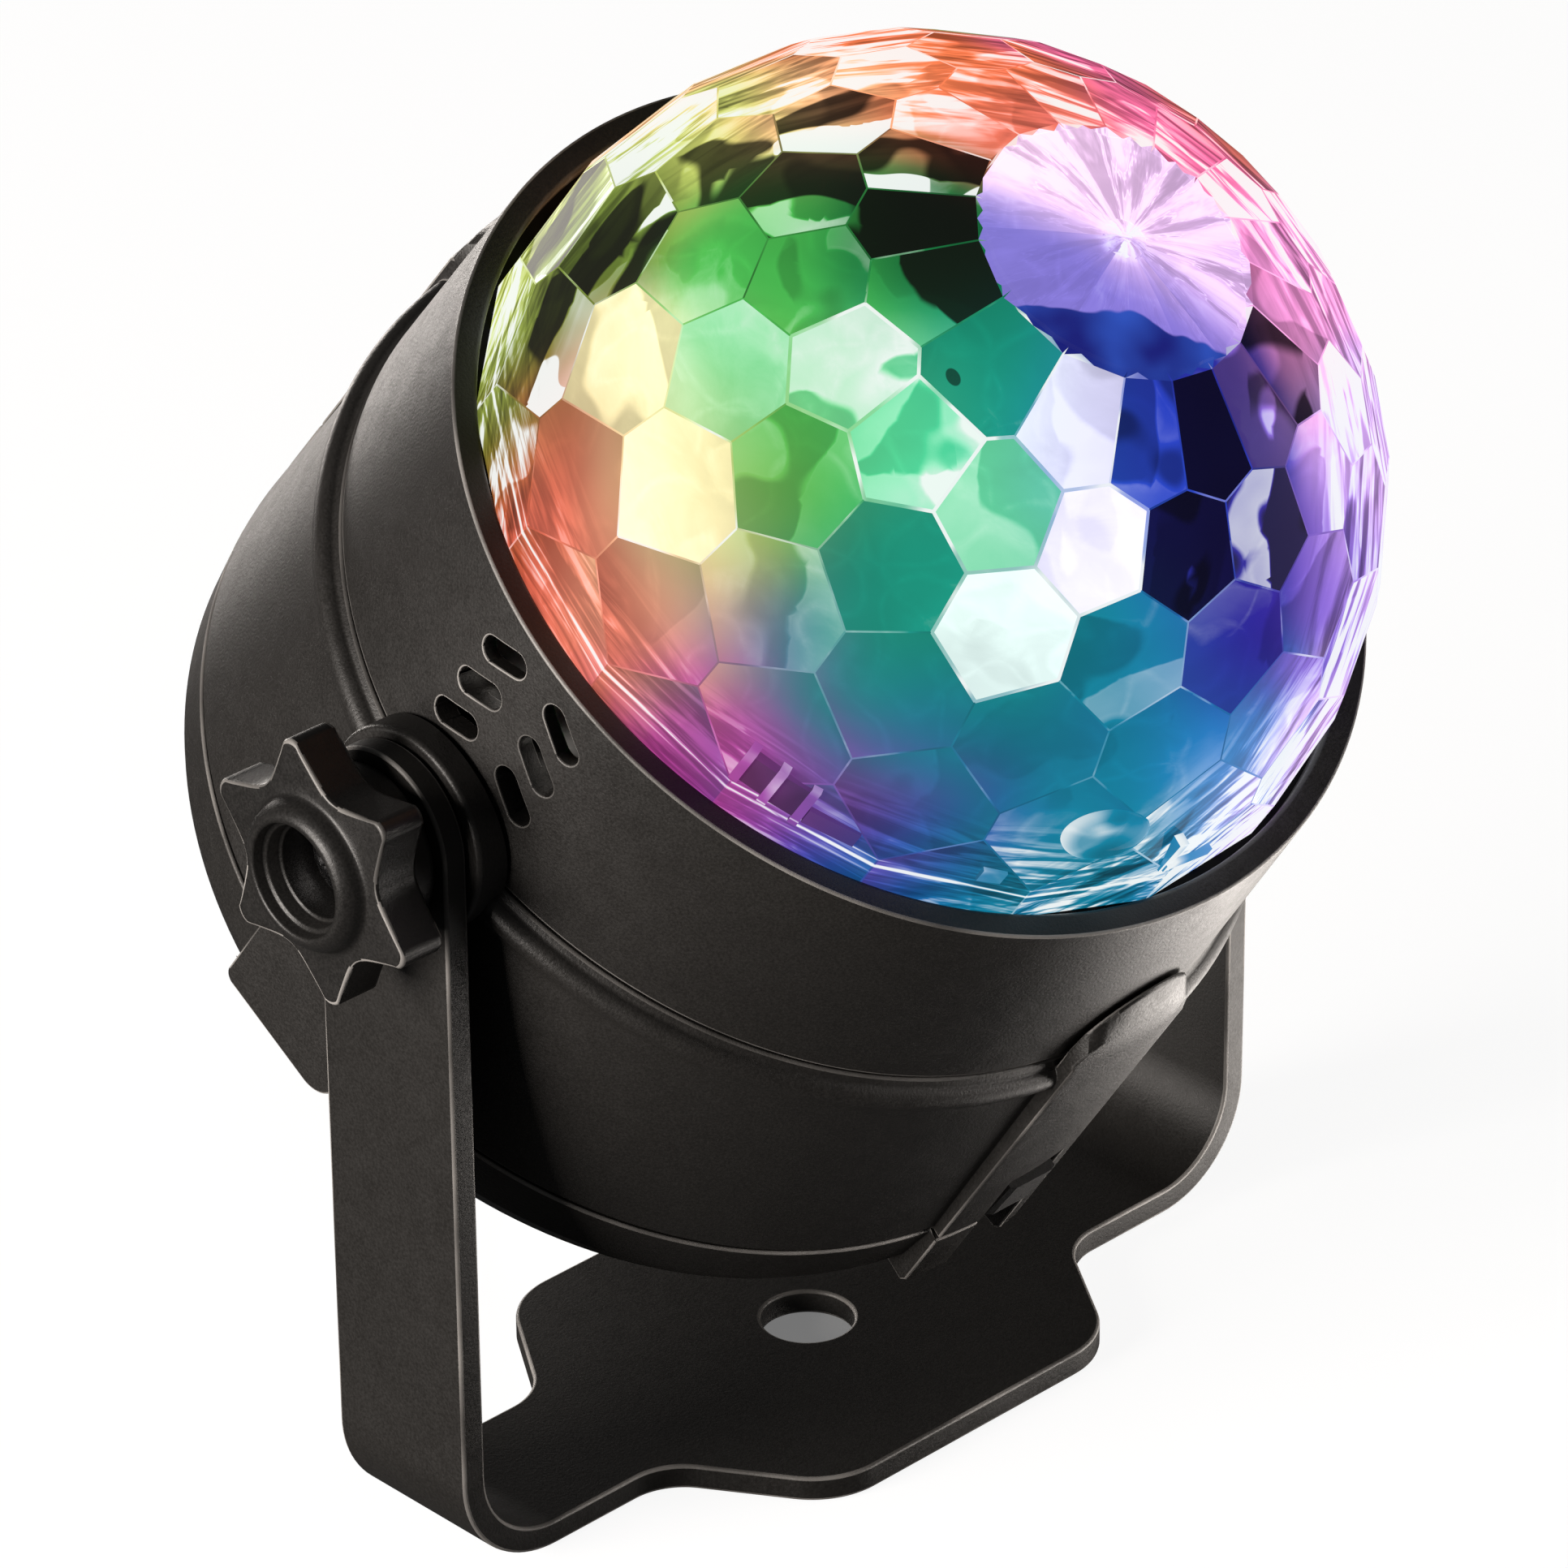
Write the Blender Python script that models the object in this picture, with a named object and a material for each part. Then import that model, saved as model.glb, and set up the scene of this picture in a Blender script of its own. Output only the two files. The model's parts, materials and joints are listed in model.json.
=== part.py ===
"""Small rotating-dome party light on a U-shaped bracket.

All dimensions below are in millimetres; scaled() turns finished meshes into metres. +Z is up,
the light faces -Y, the arms stand at -X and +X. The origin is at the bottom, in the middle of
the whole object's box.
"""

import math

import bmesh
import bpy
from mathutils import Matrix, Vector

MM = 0.001

# ---------------------------------------------------------------- driving dimensions
# bracket: one strap of steel, bent twice
PIVOT_Y = -1.90          # the bracket's middle and the tilt axis, in Y
PIVOT_Z = 72.1           # height of the tilt axis
ARM_OUT = 49.77          # outer face of each arm, from the middle
STRAP_T = 2.44           # strap thickness
STRAP_W = 16.33          # strap width
BEND_R = 10.7            # outer bend radius
ARM_END = 0.35           # how far the round arm end is centred above the axis
LOBE_Y = 21.75           # half depth of the base plate at its lobes
LOBE_X = 12.9            # where the lobe's round corner is centred
LOBE_R = 8.0             # lobe corner radius
WAIST_X = 29.4           # where the waist's hollow corner is centred
WAIST_R = 6.0            # hollow corner radius
BASE_HOLE_R = 4.34
ARM_HOLE_R = 2.6

# head: everything that tilts. Its axis is +z of the head frame, its origin is on the tilt axis
TILT_DEG = 36.42         # head axis away from vertical, towards -Y
BALL_Z = 24.6            # dome's centre along the head axis
TURN = 2.3               # degrees that the pads are turned round the head axis
SEG = 40

RIM_R = 43.1
FRONT_LOW_R = 44.2
FRONT_LOW_Z = 1.9
LIP_R = 40.7             # mouth that the dome shows through
LIP_T = 1.8
FRONT_IN_R = 41.85
SHELF_TOP, SHELF_T, SHELF_IN_R = 13.7, 1.5, 34.5
RIDGE_R = 45.75
REAR_TOP_R = 44.9
REAR_LOW_R = 46.3
SEAM_Z = -26.4           # seam between rear housing and rear cover
BACK_Z = -34.6
PAD_HALF = 7.4
PAD_CREST_R, PAD_CREST_Z = 46.2, 2.5     # front end of the pad's face, where its ramp starts
PAD_LOW_R = 47.4         # at the seam
PAD_RAMP = 7.4           # how far the ramp reaches over the front housing
SIDE_PAD_X = 46.9
SIDE_PAD_Z = (-33.8, -10.8)

VENT_AT = 0.5            # degrees from the arm's direction to the middle of the vents
VENT_TURN = 5.45         # degrees from there to each column
VENT_SLANT = 31.0        # the two columns lean together towards the rim
VENT_Z = (20.0, 15.1, 10.4)
VENT_LONG, VENT_HIGH = 5.5, 2.4

# crystal dome
FACETS = 18
FACET_R = 39.6           # every facet touches this sphere
RING_POLAR = (26.0, 38.5, 51.0, 64.0, 76.5, 88.5)
PHASE = (4.0, 14.0)      # where even and odd rings start, in degrees
DOME_IN_R = 36.4
APEX_Z = 37.95
SKIRT_Z = -3.4
FLANGE_R, FLANGE_T = 41.4, 1.3

# knobs, in their own frame: z points outwards from the arm's outer face
KNOB_TIP_R = 12.1
KNOB_VALLEY_R = 8.5
KNOB_TIPS = 6
KNOB_PHASE = 20.0
KNOB_BACK, KNOB_FACE, KNOB_LIP = 3.2, 7.8, 9.7
KNOB_GAP = 0.3

# ---------------------------------------------------------------- helpers
scene = bpy.context.scene
for ob in list(bpy.data.objects):
    bpy.data.objects.remove(ob, do_unlink=True)


def finish(name, rgb, rough, metal=0.0, clear=0.0, glow=0.0):
    mat = bpy.data.materials.new(name)
    mat.use_nodes = True
    b = mat.node_tree.nodes["Principled BSDF"]
    b.inputs["Base Color"].default_value = (*rgb, 1.0)
    b.inputs["Roughness"].default_value = rough
    b.inputs["Metallic"].default_value = metal
    b.inputs["Transmission Weight"].default_value = clear
    if glow:
        b.inputs["Emission Color"].default_value = (*rgb, 1.0)
        b.inputs["Emission Strength"].default_value = glow
    return mat


BLACK = ((0.028, 0.027, 0.026), 0.42)
PAINT = ((0.024, 0.023, 0.022), 0.45)
CLEAR = ((0.85, 0.9, 0.95), 0.04, 0.0, 0.9)
STEEL = ((0.55, 0.55, 0.56), 0.32, 1.0)
DARK_STEEL = ((0.08, 0.08, 0.085), 0.35, 1.0)
BOARD = ((0.04, 0.16, 0.07), 0.5)


def empty(name, parent=None, matrix=None):
    e = bpy.data.objects.new(name, None)
    scene.collection.objects.link(e)
    e.parent = parent
    if matrix is not None:
        e.matrix_local = matrix
    return e


def scaled(bm):
    bmesh.ops.scale(bm, vec=(MM, MM, MM), verts=bm.verts)
    bmesh.ops.recalc_face_normals(bm, faces=bm.faces)


def add(name, bm, look, parent=None, angle=35.0):
    """One sub-part: its mesh in metres, smooth where it is round, with its own material."""
    scaled(bm)
    mesh = bpy.data.meshes.new(name)
    bm.to_mesh(mesh)
    bm.free()
    mesh.shade_smooth()
    mesh.set_sharp_from_angle(angle=math.radians(angle))
    mesh.materials.append(finish(name, *look))
    ob = bpy.data.objects.new(name, mesh)
    scene.collection.objects.link(ob)
    ob.parent = parent
    return ob


def tool(name, bm, parent=None):
    """A solid that only cuts or joins: hidden, drawn as wire."""
    scaled(bm)
    mesh = bpy.data.meshes.new(name)
    bm.to_mesh(mesh)
    bm.free()
    ob = bpy.data.objects.new(name, mesh)
    scene.collection.objects.link(ob)
    ob.parent = parent
    ob.hide_render = True
    ob.display_type = "WIRE"
    return ob


def boolean(ob, other, how="DIFFERENCE"):
    m = ob.modifiers.new(how.title() + " " + other.name, "BOOLEAN")
    m.operation = how
    m.object = other
    m.solver = "EXACT"


def ring_points(r, z, n):
    return [(r * math.cos(2 * math.pi * k / n), r * math.sin(2 * math.pi * k / n), z) for k in range(n)]


def lathe(bm, profile, n=SEG, closed=True):
    """Turns a profile of (radius, z) about z. closed: a ring's outline; open: ends on the axis."""
    rings = []
    for r, z in profile:
        if r < 1e-6:
            rings.append([bm.verts.new((0, 0, z))])
        else:
            rings.append([bm.verts.new(p) for p in ring_points(r, z, n)])
    made = [v for ring in rings for v in ring]
    follow = rings[1:] + ([rings[0]] if closed else [])
    for a, b in zip(rings, follow):
        for k in range(n):
            j = (k + 1) % n
            if len(a) == 1 and len(b) == 1:
                continue
            if len(a) == 1:
                bm.faces.new((a[0], b[j], b[k]))
            elif len(b) == 1:
                bm.faces.new((a[k], a[j], b[0]))
            else:
                bm.faces.new((a[k], a[j], b[j], b[k]))
    return made


def prism(bm, outline, z0, z1):
    """A flat outline of (x, y), extruded from z0 to z1."""
    low = [bm.verts.new((x, y, z0)) for x, y in outline]
    high = [bm.verts.new((x, y, z1)) for x, y in outline]
    bm.faces.new(low[::-1])
    bm.faces.new(high)
    n = len(outline)
    for k in range(n):
        j = (k + 1) % n
        bm.faces.new((low[k], low[j], high[j], high[k]))
    return low + high


def box(bm, x0, x1, y0, y1, z0, z1):
    return prism(bm, [(x0, y0), (x1, y0), (x1, y1), (x0, y1)], z0, z1)


def sector(bm, profile, a0, a1, steps):
    """A closed (radius, z) outline swept round z from a0 to a1 degrees, with flat ends.

    profile is a list, or gives the outline for a position from -1 to 1 across the sweep.
    """
    rows = []
    for s in range(steps + 1):
        a = math.radians(a0 + (a1 - a0) * s / steps)
        outline = profile(2 * s / steps - 1) if callable(profile) else profile
        rows.append([bm.verts.new((r * math.cos(a), r * math.sin(a), z)) for r, z in outline])
    n = len(rows[0])
    for p, q in zip(rows, rows[1:]):
        for k in range(n):
            j = (k + 1) % n
            bm.faces.new((p[k], p[j], q[j], q[k]))
    bm.faces.new(rows[0][::-1])
    bm.faces.new(rows[-1])
    return [v for row in rows for v in row]


def arc(cx, cy, r, a0, a1, steps):
    return [
        (cx + r * math.cos(math.radians(a0 + (a1 - a0) * k / steps)),
         cy + r * math.sin(math.radians(a0 + (a1 - a0) * k / steps)))
        for k in range(steps + 1)
    ]


def move(bm, verts, matrix):
    bmesh.ops.transform(bm, matrix=matrix, verts=verts)


def turned(degrees):
    return Matrix.Rotation(math.radians(degrees), 4, "Z")


def rod(bm, r, z0, z1, n=16):
    return lathe(bm, [(0, z0), (r, z0), (r, z1), (0, z1)], n, closed=False)


def pan_screw(bm, head_r, head_h, shank_r, length, n=12):
    """Pan-head screw, head upwards from z 0, shank downwards."""
    return lathe(
        bm,
        [(0, head_h), (head_r * 0.62, head_h * 0.93), (head_r * 0.9, head_h * 0.62), (head_r, head_h * 0.2),
         (head_r, 0), (shank_r, 0), (shank_r, -length + shank_r * 0.6), (shank_r * 0.45, -length), (0, -length)],
        n, closed=False,
    )


def cross_outline(reach, w):
    """Outline of a cross-head recess, w half the width of its arms."""
    out = []
    for k in range(4):
        c, s = (1, 0, -1, 0)[k], (0, 1, 0, -1)[k]
        out += [(c * x - s * y, s * x + c * y) for x, y in ((reach, -w), (reach, w), (w, w))]
    return out


# ---------------------------------------------------------------- frames of the joints
tilt_axis = empty(
    "tilt_axis", None,
    Matrix.Translation((0, PIVOT_Y * MM, PIVOT_Z * MM)) @ Matrix.Rotation(math.radians(TILT_DEG), 4, "X"),
)
spin_axis = empty("spin_axis", tilt_axis, Matrix.Translation((0, 0, BALL_Z * MM)))
SIDES = (("left", -1), ("right", 1))
knob_axis = {}
for side, sign in SIDES:
    face = Matrix.Translation((sign * ARM_OUT * MM, PIVOT_Y * MM, PIVOT_Z * MM))
    knob_axis[side] = empty(
        "knob_axis_" + side, None, face @ Matrix.Rotation(math.radians(sign * 90), 4, "Y")
    )

# ---------------------------------------------------------------- bracket
half = STRAP_W / 2


def strap_outline():
    """The bent strap seen from the front: outer line down, across and up, inner line back."""
    top = PIVOT_Z + ARM_END + half
    inner = ARM_OUT - STRAP_T
    out = [(-ARM_OUT, top)]
    out += arc(-ARM_OUT + BEND_R, BEND_R, BEND_R, 180, 270, 8)
    out += arc(ARM_OUT - BEND_R, BEND_R, BEND_R, 270, 360, 8)
    out += [(ARM_OUT, top), (inner, top)]
    r = BEND_R - STRAP_T
    out += arc(ARM_OUT - BEND_R, BEND_R, r, 360, 270, 8)
    out += arc(-ARM_OUT + BEND_R, BEND_R, r, 270, 180, 8)
    out += [(-inner, top)]
    return out


def plate_outline():
    """The base plate's widened middle: a round-cornered lobe each side, with hollow waists."""
    cx, cy = LOBE_X, LOBE_Y - LOBE_R
    wx, wy = WAIST_X, half + WAIST_R
    away = math.degrees(math.atan2(wy - cy, wx - cx))
    lean = math.degrees(math.acos((LOBE_R + WAIST_R) / math.hypot(wx - cx, wy - cy)))
    quarter = arc(cx, cy, LOBE_R, 90, away + lean, 6)
    quarter += arc(wx, wy, WAIST_R, 180 + away + lean, 270, 6)
    right = quarter + [(x, -y) for x, y in quarter[::-1]]
    return right + [(-x, -y) for x, y in right]


bm = bmesh.new()
verts = prism(bm, strap_outline(), -half, half)
move(bm, verts, Matrix.Translation((0, PIVOT_Y, 0)) @ Matrix.Rotation(math.radians(90), 4, "X"))
bracket = add("bracket", bm, PAINT)

bm = bmesh.new()
verts = prism(bm, plate_outline(), 0, STRAP_T)
move(bm, verts, Matrix.Translation((0, PIVOT_Y, 0)))
boolean(bracket, tool("join_plate", bm), "UNION")

bm = bmesh.new()
corner = arc(0, PIVOT_Z + ARM_END, half, 0, 180, 16)
verts = prism(bm, corner + [(-half - 2, PIVOT_Z + ARM_END), (-half - 2, PIVOT_Z + half + 4),
                            (half + 2, PIVOT_Z + half + 4), (half + 2, PIVOT_Z + ARM_END)], -60, 60)
move(bm, verts, Matrix.Translation((0, PIVOT_Y, 0)) @ Matrix(((0, 0, 1, 0), (1, 0, 0, 0), (0, 1, 0, 0), (0, 0, 0, 1))))
boolean(bracket, tool("cut_arm_ends", bm))

bm = bmesh.new()
verts = rod(bm, ARM_HOLE_R, -60, 60)
move(bm, verts, Matrix.Translation((0, PIVOT_Y, PIVOT_Z)) @ Matrix.Rotation(math.radians(90), 4, "Y"))
verts = rod(bm, BASE_HOLE_R, -3, 6, 32)
move(bm, verts, Matrix.Translation((0, PIVOT_Y, 0)))
boolean(bracket, tool("cut_bracket_holes", bm))

# ---------------------------------------------------------------- front housing
RIM_Z = BALL_Z - 0.2
bm = bmesh.new()
lathe(bm, [
    (LIP_R, RIM_Z - 0.25), (LIP_R + 0.3, RIM_Z), (RIM_R - 0.35, RIM_Z), (RIM_R, RIM_Z - 0.35),
    (FRONT_LOW_R, FRONT_LOW_Z + 0.4), (FRONT_LOW_R - 0.3, FRONT_LOW_Z),
    (42.65, FRONT_LOW_Z), (42.65, -3.2), (41.2, -3.2), (41.2, 3.0),
    (FRONT_IN_R, SHELF_TOP - SHELF_T), (SHELF_IN_R, SHELF_TOP - SHELF_T), (SHELF_IN_R, SHELF_TOP),
    (FRONT_IN_R, SHELF_TOP), (FRONT_IN_R, RIM_Z - LIP_T), (LIP_R, RIM_Z - LIP_T),
])
front = add("front_housing", bm, BLACK, tilt_axis)

bm = bmesh.new()
for base in (0, 180):
    for lean in (-1, 1):
        for z in VENT_Z:
            r = VENT_HIGH / 2
            reach = VENT_LONG / 2 - r
            outline = arc(reach, 0, r, -90, 90, 3) + arc(-reach, 0, r, 90, 270, 3)
            verts = prism(bm, outline, 38, 48)
            # the outline's x runs round the shell, its y along the head axis, its z outwards
            move(bm, verts, turned(base + lean * VENT_TURN + VENT_AT) @ Matrix.Translation((0, 0, z))
                 @ Matrix(((0, 0, 1, 0), (1, 0, 0, 0), (0, 1, 0, 0), (0, 0, 0, 1))) @ turned(-lean * VENT_SLANT))
boolean(front, tool("cut_vents", bm, tilt_axis))

SCREW_AZ = (30, 150, 270)
BOARD_SCREW_R = 37.4
bm = bmesh.new()
for az in SCREW_AZ:
    verts = rod(bm, 1.5, 11, 15, 10)
    move(bm, verts, turned(az) @ Matrix.Translation((BOARD_SCREW_R, 0, 0)))
for az in (90, -90):
    verts = rod(bm, 1.5, 11, 15, 10)
    move(bm, verts, turned(az + 22) @ Matrix.Translation((36.8, 0, 0)))
boolean(front, tool("cut_shelf_holes", bm, tilt_axis))

bm = bmesh.new()
verts = rod(bm, ARM_HOLE_R, -60, 60)
move(bm, verts, Matrix.Rotation(math.radians(90), 4, "Y"))
pivot_drill = tool("cut_pivot_hole", bm, tilt_axis)
boolean(front, pivot_drill)

# ---------------------------------------------------------------- rear housing
bm = bmesh.new()
lathe(bm, [
    (43.05, 1.45), (44.35, 1.45), (45.3, 1.0), (RIDGE_R, -0.4), (45.4, -1.9),
    (REAR_TOP_R, -2.9), (45.6, -14.5), (REAR_LOW_R, SEAM_Z + 0.2),
    (44.0, SEAM_Z + 0.2), (43.05, -8.0),
])
rear = add("rear_housing", bm, BLACK, tilt_axis)

pad_turns = (90 + TURN, 270 + TURN)
side_turns = (TURN, 180 + TURN)
span = math.degrees(PAD_HALF / PAD_LOW_R)


def pad_profile(t):
    """Rear-housing part of a pad, cut at t of its half width: a face and a ramp with a round tip."""
    tip = PAD_CREST_Z + 0.5 + PAD_RAMP * math.sqrt(1 - t * t)
    under = 44.55 - 0.0489 * (tip - 1.9)
    halfway = PAD_CREST_Z + 0.6 * (tip - PAD_CREST_Z)
    return [(44.6, 1.2), (under, tip), (under + 0.4, tip - 0.15), (PAD_CREST_R - 0.35, halfway),
            (PAD_CREST_R, PAD_CREST_Z), (PAD_LOW_R, SEAM_Z + 0.2), (44.6, SEAM_Z + 0.2)]


def side_pad(bm, grow, z1, x0, x1):
    """Flat side pad, its rear corners rounded; grow makes it larger all round."""
    a, c, low = -PAD_HALF - grow, PAD_HALF + grow, SIDE_PAD_Z[0] - grow
    outline = arc(c - 3, low + 3, 3, -90, 0, 4)[::-1] + arc(a + 1.2, low + 1.2, 1.2, 180, 270, 3)[::-1] + [(a, z1), (c, z1)]
    verts = prism(bm, outline, x0, x1)
    move(bm, verts, Matrix(((0, 0, 1, 0), (1, 0, 0, 0), (0, 1, 0, 0), (0, 0, 0, 1))))
    return verts


bm = bmesh.new()
for az in pad_turns:
    verts = sector(bm, pad_profile, -span, span, 8)
    move(bm, verts, turned(az))
for az in side_turns:
    verts = side_pad(bm, 0, SIDE_PAD_Z[1], 44.6, SIDE_PAD_X)
    move(bm, verts, turned(az))
boolean(rear, tool("join_pads", bm, tilt_axis), "UNION")

POST_R = 39.4
POST_AZ = (45, 135, 225, 315)


def post_outline(r, out):
    return arc(0, 0, r, 90, 270, 6) + [(out, -r), (out, r)]


bm = bmesh.new()
for az in POST_AZ:
    verts = prism(bm, post_outline(3.3, 4.4), -23.0, -12.0)
    move(bm, verts, turned(az) @ Matrix.Translation((POST_R, 0, 0)))
boolean(rear, tool("join_posts", bm, tilt_axis), "UNION")

bm = bmesh.new()
for az in POST_AZ:
    verts = rod(bm, 1.35, -24, -14, 10)
    move(bm, verts, turned(az) @ Matrix.Translation((POST_R, 0, 0)))
boolean(rear, tool("cut_post_holes", bm, tilt_axis))
boolean(rear, pivot_drill)

# cord notch in the lower pad, with a way through the wall for the gland
NOTCH_X0, NOTCH_X1 = -0.4, 6.6
NOTCH_FLOOR = 44.75
NOTCH_TOP = -19.4
bm = bmesh.new()
verts = box(bm, NOTCH_FLOOR, 50, NOTCH_X0, NOTCH_X1, -40, NOTCH_TOP)
move(bm, verts, turned(-90))
notch = tool("cut_cord_notch", bm, tilt_axis)
bm = bmesh.new()
verts = rod(bm, 2.0, 40, 46, 20)
move(bm, verts, Matrix.Translation((3.1, 0, -23.4)) @ Matrix.Rotation(math.radians(90), 4, "X"))
gland_hole = tool("cut_gland_hole", bm, tilt_axis)
boolean(rear, notch)
boolean(rear, gland_hole)

# ---------------------------------------------------------------- rear cover
bm = bmesh.new()
COVER = [
    (0, BACK_Z + 0.6), (26.2, BACK_Z + 0.6), (27.0, BACK_Z), (43.2, BACK_Z), (45.1, -33.7),
    (45.8, -32.0), (REAR_LOW_R, SEAM_Z - 0.2),
    (43.6, SEAM_Z - 0.2), (43.6, -24.2), (42.2, -24.2), (42.2, BACK_Z + 2.4), (0, BACK_Z + 2.6),
]
lathe(bm, COVER, closed=False)
cover = add("rear_cover", bm, BLACK, tilt_axis)

bm = bmesh.new()
for az in pad_turns:
    verts = sector(bm, [(44.6, SEAM_Z - 0.2), (PAD_LOW_R, SEAM_Z - 0.2), (PAD_LOW_R + 0.3, -33.6), (PAD_LOW_R - 0.1, -34.3), (44.6, -34.4)],
                   -span, span, 6)
    move(bm, verts, turned(az))
boolean(cover, tool("join_cover_pads", bm, tilt_axis), "UNION")

bm = bmesh.new()
for az in side_turns:
    verts = side_pad(bm, 0.3, SEAM_Z + 1, 44.25, 50)
    move(bm, verts, turned(az))
boolean(cover, tool("cut_cover_sides", bm, tilt_axis))
bm = bmesh.new()
box(bm, 0.8, 5.4, -44.2, -40, -25.6, -23)
boolean(cover, tool("cut_gland_slot", bm, tilt_axis))

bm = bmesh.new()
for az in POST_AZ:
    verts = rod(bm, 3.3, BACK_Z + 1.2, -24.4, 10)
    move(bm, verts, turned(az) @ Matrix.Translation((POST_R, 0, 0)))
for x in (-22, 22):
    for y in (-12, 12):
        verts = rod(bm, 2.0, BACK_Z + 1.2, -29.9, 6)
        move(bm, verts, Matrix.Translation((x, y, 0)))
boolean(cover, tool("join_cover_posts", bm, tilt_axis), "UNION")

bm = bmesh.new()
for az in POST_AZ:
    verts = rod(bm, 1.35, -36, -20, 10)
    move(bm, verts, turned(az) @ Matrix.Translation((POST_R, 0, 0)))
boolean(cover, tool("cut_cover_holes", bm, tilt_axis))
bm = bmesh.new()
for az in POST_AZ:
    verts = rod(bm, 3.0, -36, -32.5, 10)
    move(bm, verts, turned(az) @ Matrix.Translation((POST_R, 0, 0)))
boolean(cover, tool("cut_cover_counterbores", bm, tilt_axis))
boolean(cover, notch)

for k, az in enumerate(POST_AZ):
    bm = bmesh.new()
    verts = pan_screw(bm, 2.6, 1.5, 1.0, 17)
    move(bm, verts, turned(az) @ Matrix.Translation((POST_R, 0, -32.8)) @ Matrix.Rotation(math.pi, 4, "X"))
    screw = add(f"rear_screw_{k + 1}", bm, DARK_STEEL, tilt_axis)
    bm = bmesh.new()
    verts = prism(bm, cross_outline(1.5, 0.28), 0.7, 3)
    move(bm, verts, turned(az) @ Matrix.Translation((POST_R, 0, -32.8)) @ Matrix.Rotation(math.pi, 4, "X"))
    boolean(screw, tool(f"cut_rear_cross_{k + 1}", bm, tilt_axis))

# ---------------------------------------------------------------- pivot bosses, nuts
bm = bmesh.new()
lathe(bm, [(0, 14), (44.35, 14), (44.55, 1.9), (45.5, 1.7), (46.05, 0.6), (46.05, -1.6), (45.5, -2.8), (45.3, -3.3),
           (45.85, -14), (0, -14)], closed=False)
saddle = tool("cut_saddle", bm, tilt_axis)
for side, sign in SIDES:
    out = Matrix.Rotation(math.radians(sign * 90), 4, "Y")
    bm = bmesh.new()
    verts = lathe(bm, [(ARM_HOLE_R, 40.5), (9.35, 40.5), (9.35, 46.5), (8.85, 47.0), (ARM_HOLE_R, 47.0)], 24)
    move(bm, verts, out)
    boss = add("pivot_boss_" + side, bm, BLACK, tilt_axis)
    boolean(boss, saddle)
    bm = bmesh.new()
    hexagon = [(4.0 * math.cos(math.radians(60 * k)), 4.0 * math.sin(math.radians(60 * k))) for k in range(6)]
    verts = prism(bm, hexagon, 37.3, 40.5)
    move(bm, verts, out)
    nut = add("pivot_nut_" + side, bm, STEEL, tilt_axis)
    bm = bmesh.new()
    verts = rod(bm, 2.3, 30, 45)
    move(bm, verts, out)
    boolean(nut, tool("cut_nut_" + side, bm, tilt_axis))

# ---------------------------------------------------------------- cord gland
bm = bmesh.new()
verts = prism(bm, [(0.3, -47.2), (0.9, -47.5), (5.3, -47.5), (5.9, -47.2), (5.9, -45.05), (0.3, -45.05)], -26.0, -20.9)
gland = add("cord_gland", bm, ((0.02, 0.02, 0.02), 0.6), tilt_axis)
bm = bmesh.new()
verts = rod(bm, 1.65, 41.5, 46, 20)
move(bm, verts, Matrix.Translation((3.1, 0, -23.4)) @ Matrix.Rotation(math.radians(90), 4, "X"))
boolean(gland, tool("join_gland_leg", bm, tilt_axis), "UNION")
bm = bmesh.new()
verts = rod(bm, 0.9, -30, -22.5, 16)
move(bm, verts, Matrix.Translation((3.1, -46.25, 0)))
boolean(gland, tool("cut_gland_bore", bm, tilt_axis))

# ---------------------------------------------------------------- LED board, LEDs, cover
BOARD_Z = SHELF_TOP + 0.3
LED_R = 14.0
LEDS = (("led_red", 90, (0.9, 0.03, 0.03)), ("led_green", 210, (0.03, 0.8, 0.08)), ("led_blue", 330, (0.04, 0.08, 0.95)))
bm = bmesh.new()
lathe(bm, [(4.4, BOARD_Z), (40.9, BOARD_Z), (40.9, BOARD_Z + 1.6), (4.4, BOARD_Z + 1.6)], 32)
board = add("led_board", bm, ((0.8, 0.8, 0.78), 0.4), tilt_axis)
bm = bmesh.new()
for az in SCREW_AZ:
    verts = rod(bm, 1.5, 12, 17, 10)
    move(bm, verts, turned(az) @ Matrix.Translation((BOARD_SCREW_R, 0, 0)))
boolean(board, tool("cut_board_holes", bm, tilt_axis))
for k, az in enumerate(SCREW_AZ):
    bm = bmesh.new()
    verts = pan_screw(bm, 2.3, 1.3, 1.1, 5)
    move(bm, verts, turned(az) @ Matrix.Translation((BOARD_SCREW_R, 0, BOARD_Z + 1.9)))
    add(f"board_screw_{k + 1}", bm, STEEL, tilt_axis)

LED_Z = BOARD_Z + 1.9
for name, az, rgb in LEDS:
    bm = bmesh.new()
    dome = [(2.6 * math.cos(math.radians(a)), LED_Z + 1.5 + 2.4 * math.sin(math.radians(a))) for a in (0, 22, 45, 67)]
    verts = lathe(bm, [(0, LED_Z), (4.0, LED_Z), (4.0, LED_Z + 1.1), (3.0, LED_Z + 1.5)] + dome + [(0, LED_Z + 3.9)], 12, closed=False)
    move(bm, verts, turned(az) @ Matrix.Translation((LED_R, 0, 0)))
    add(name, bm, (rgb, 0.15, 0.0, 0.0, 4.0), tilt_axis)

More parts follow.
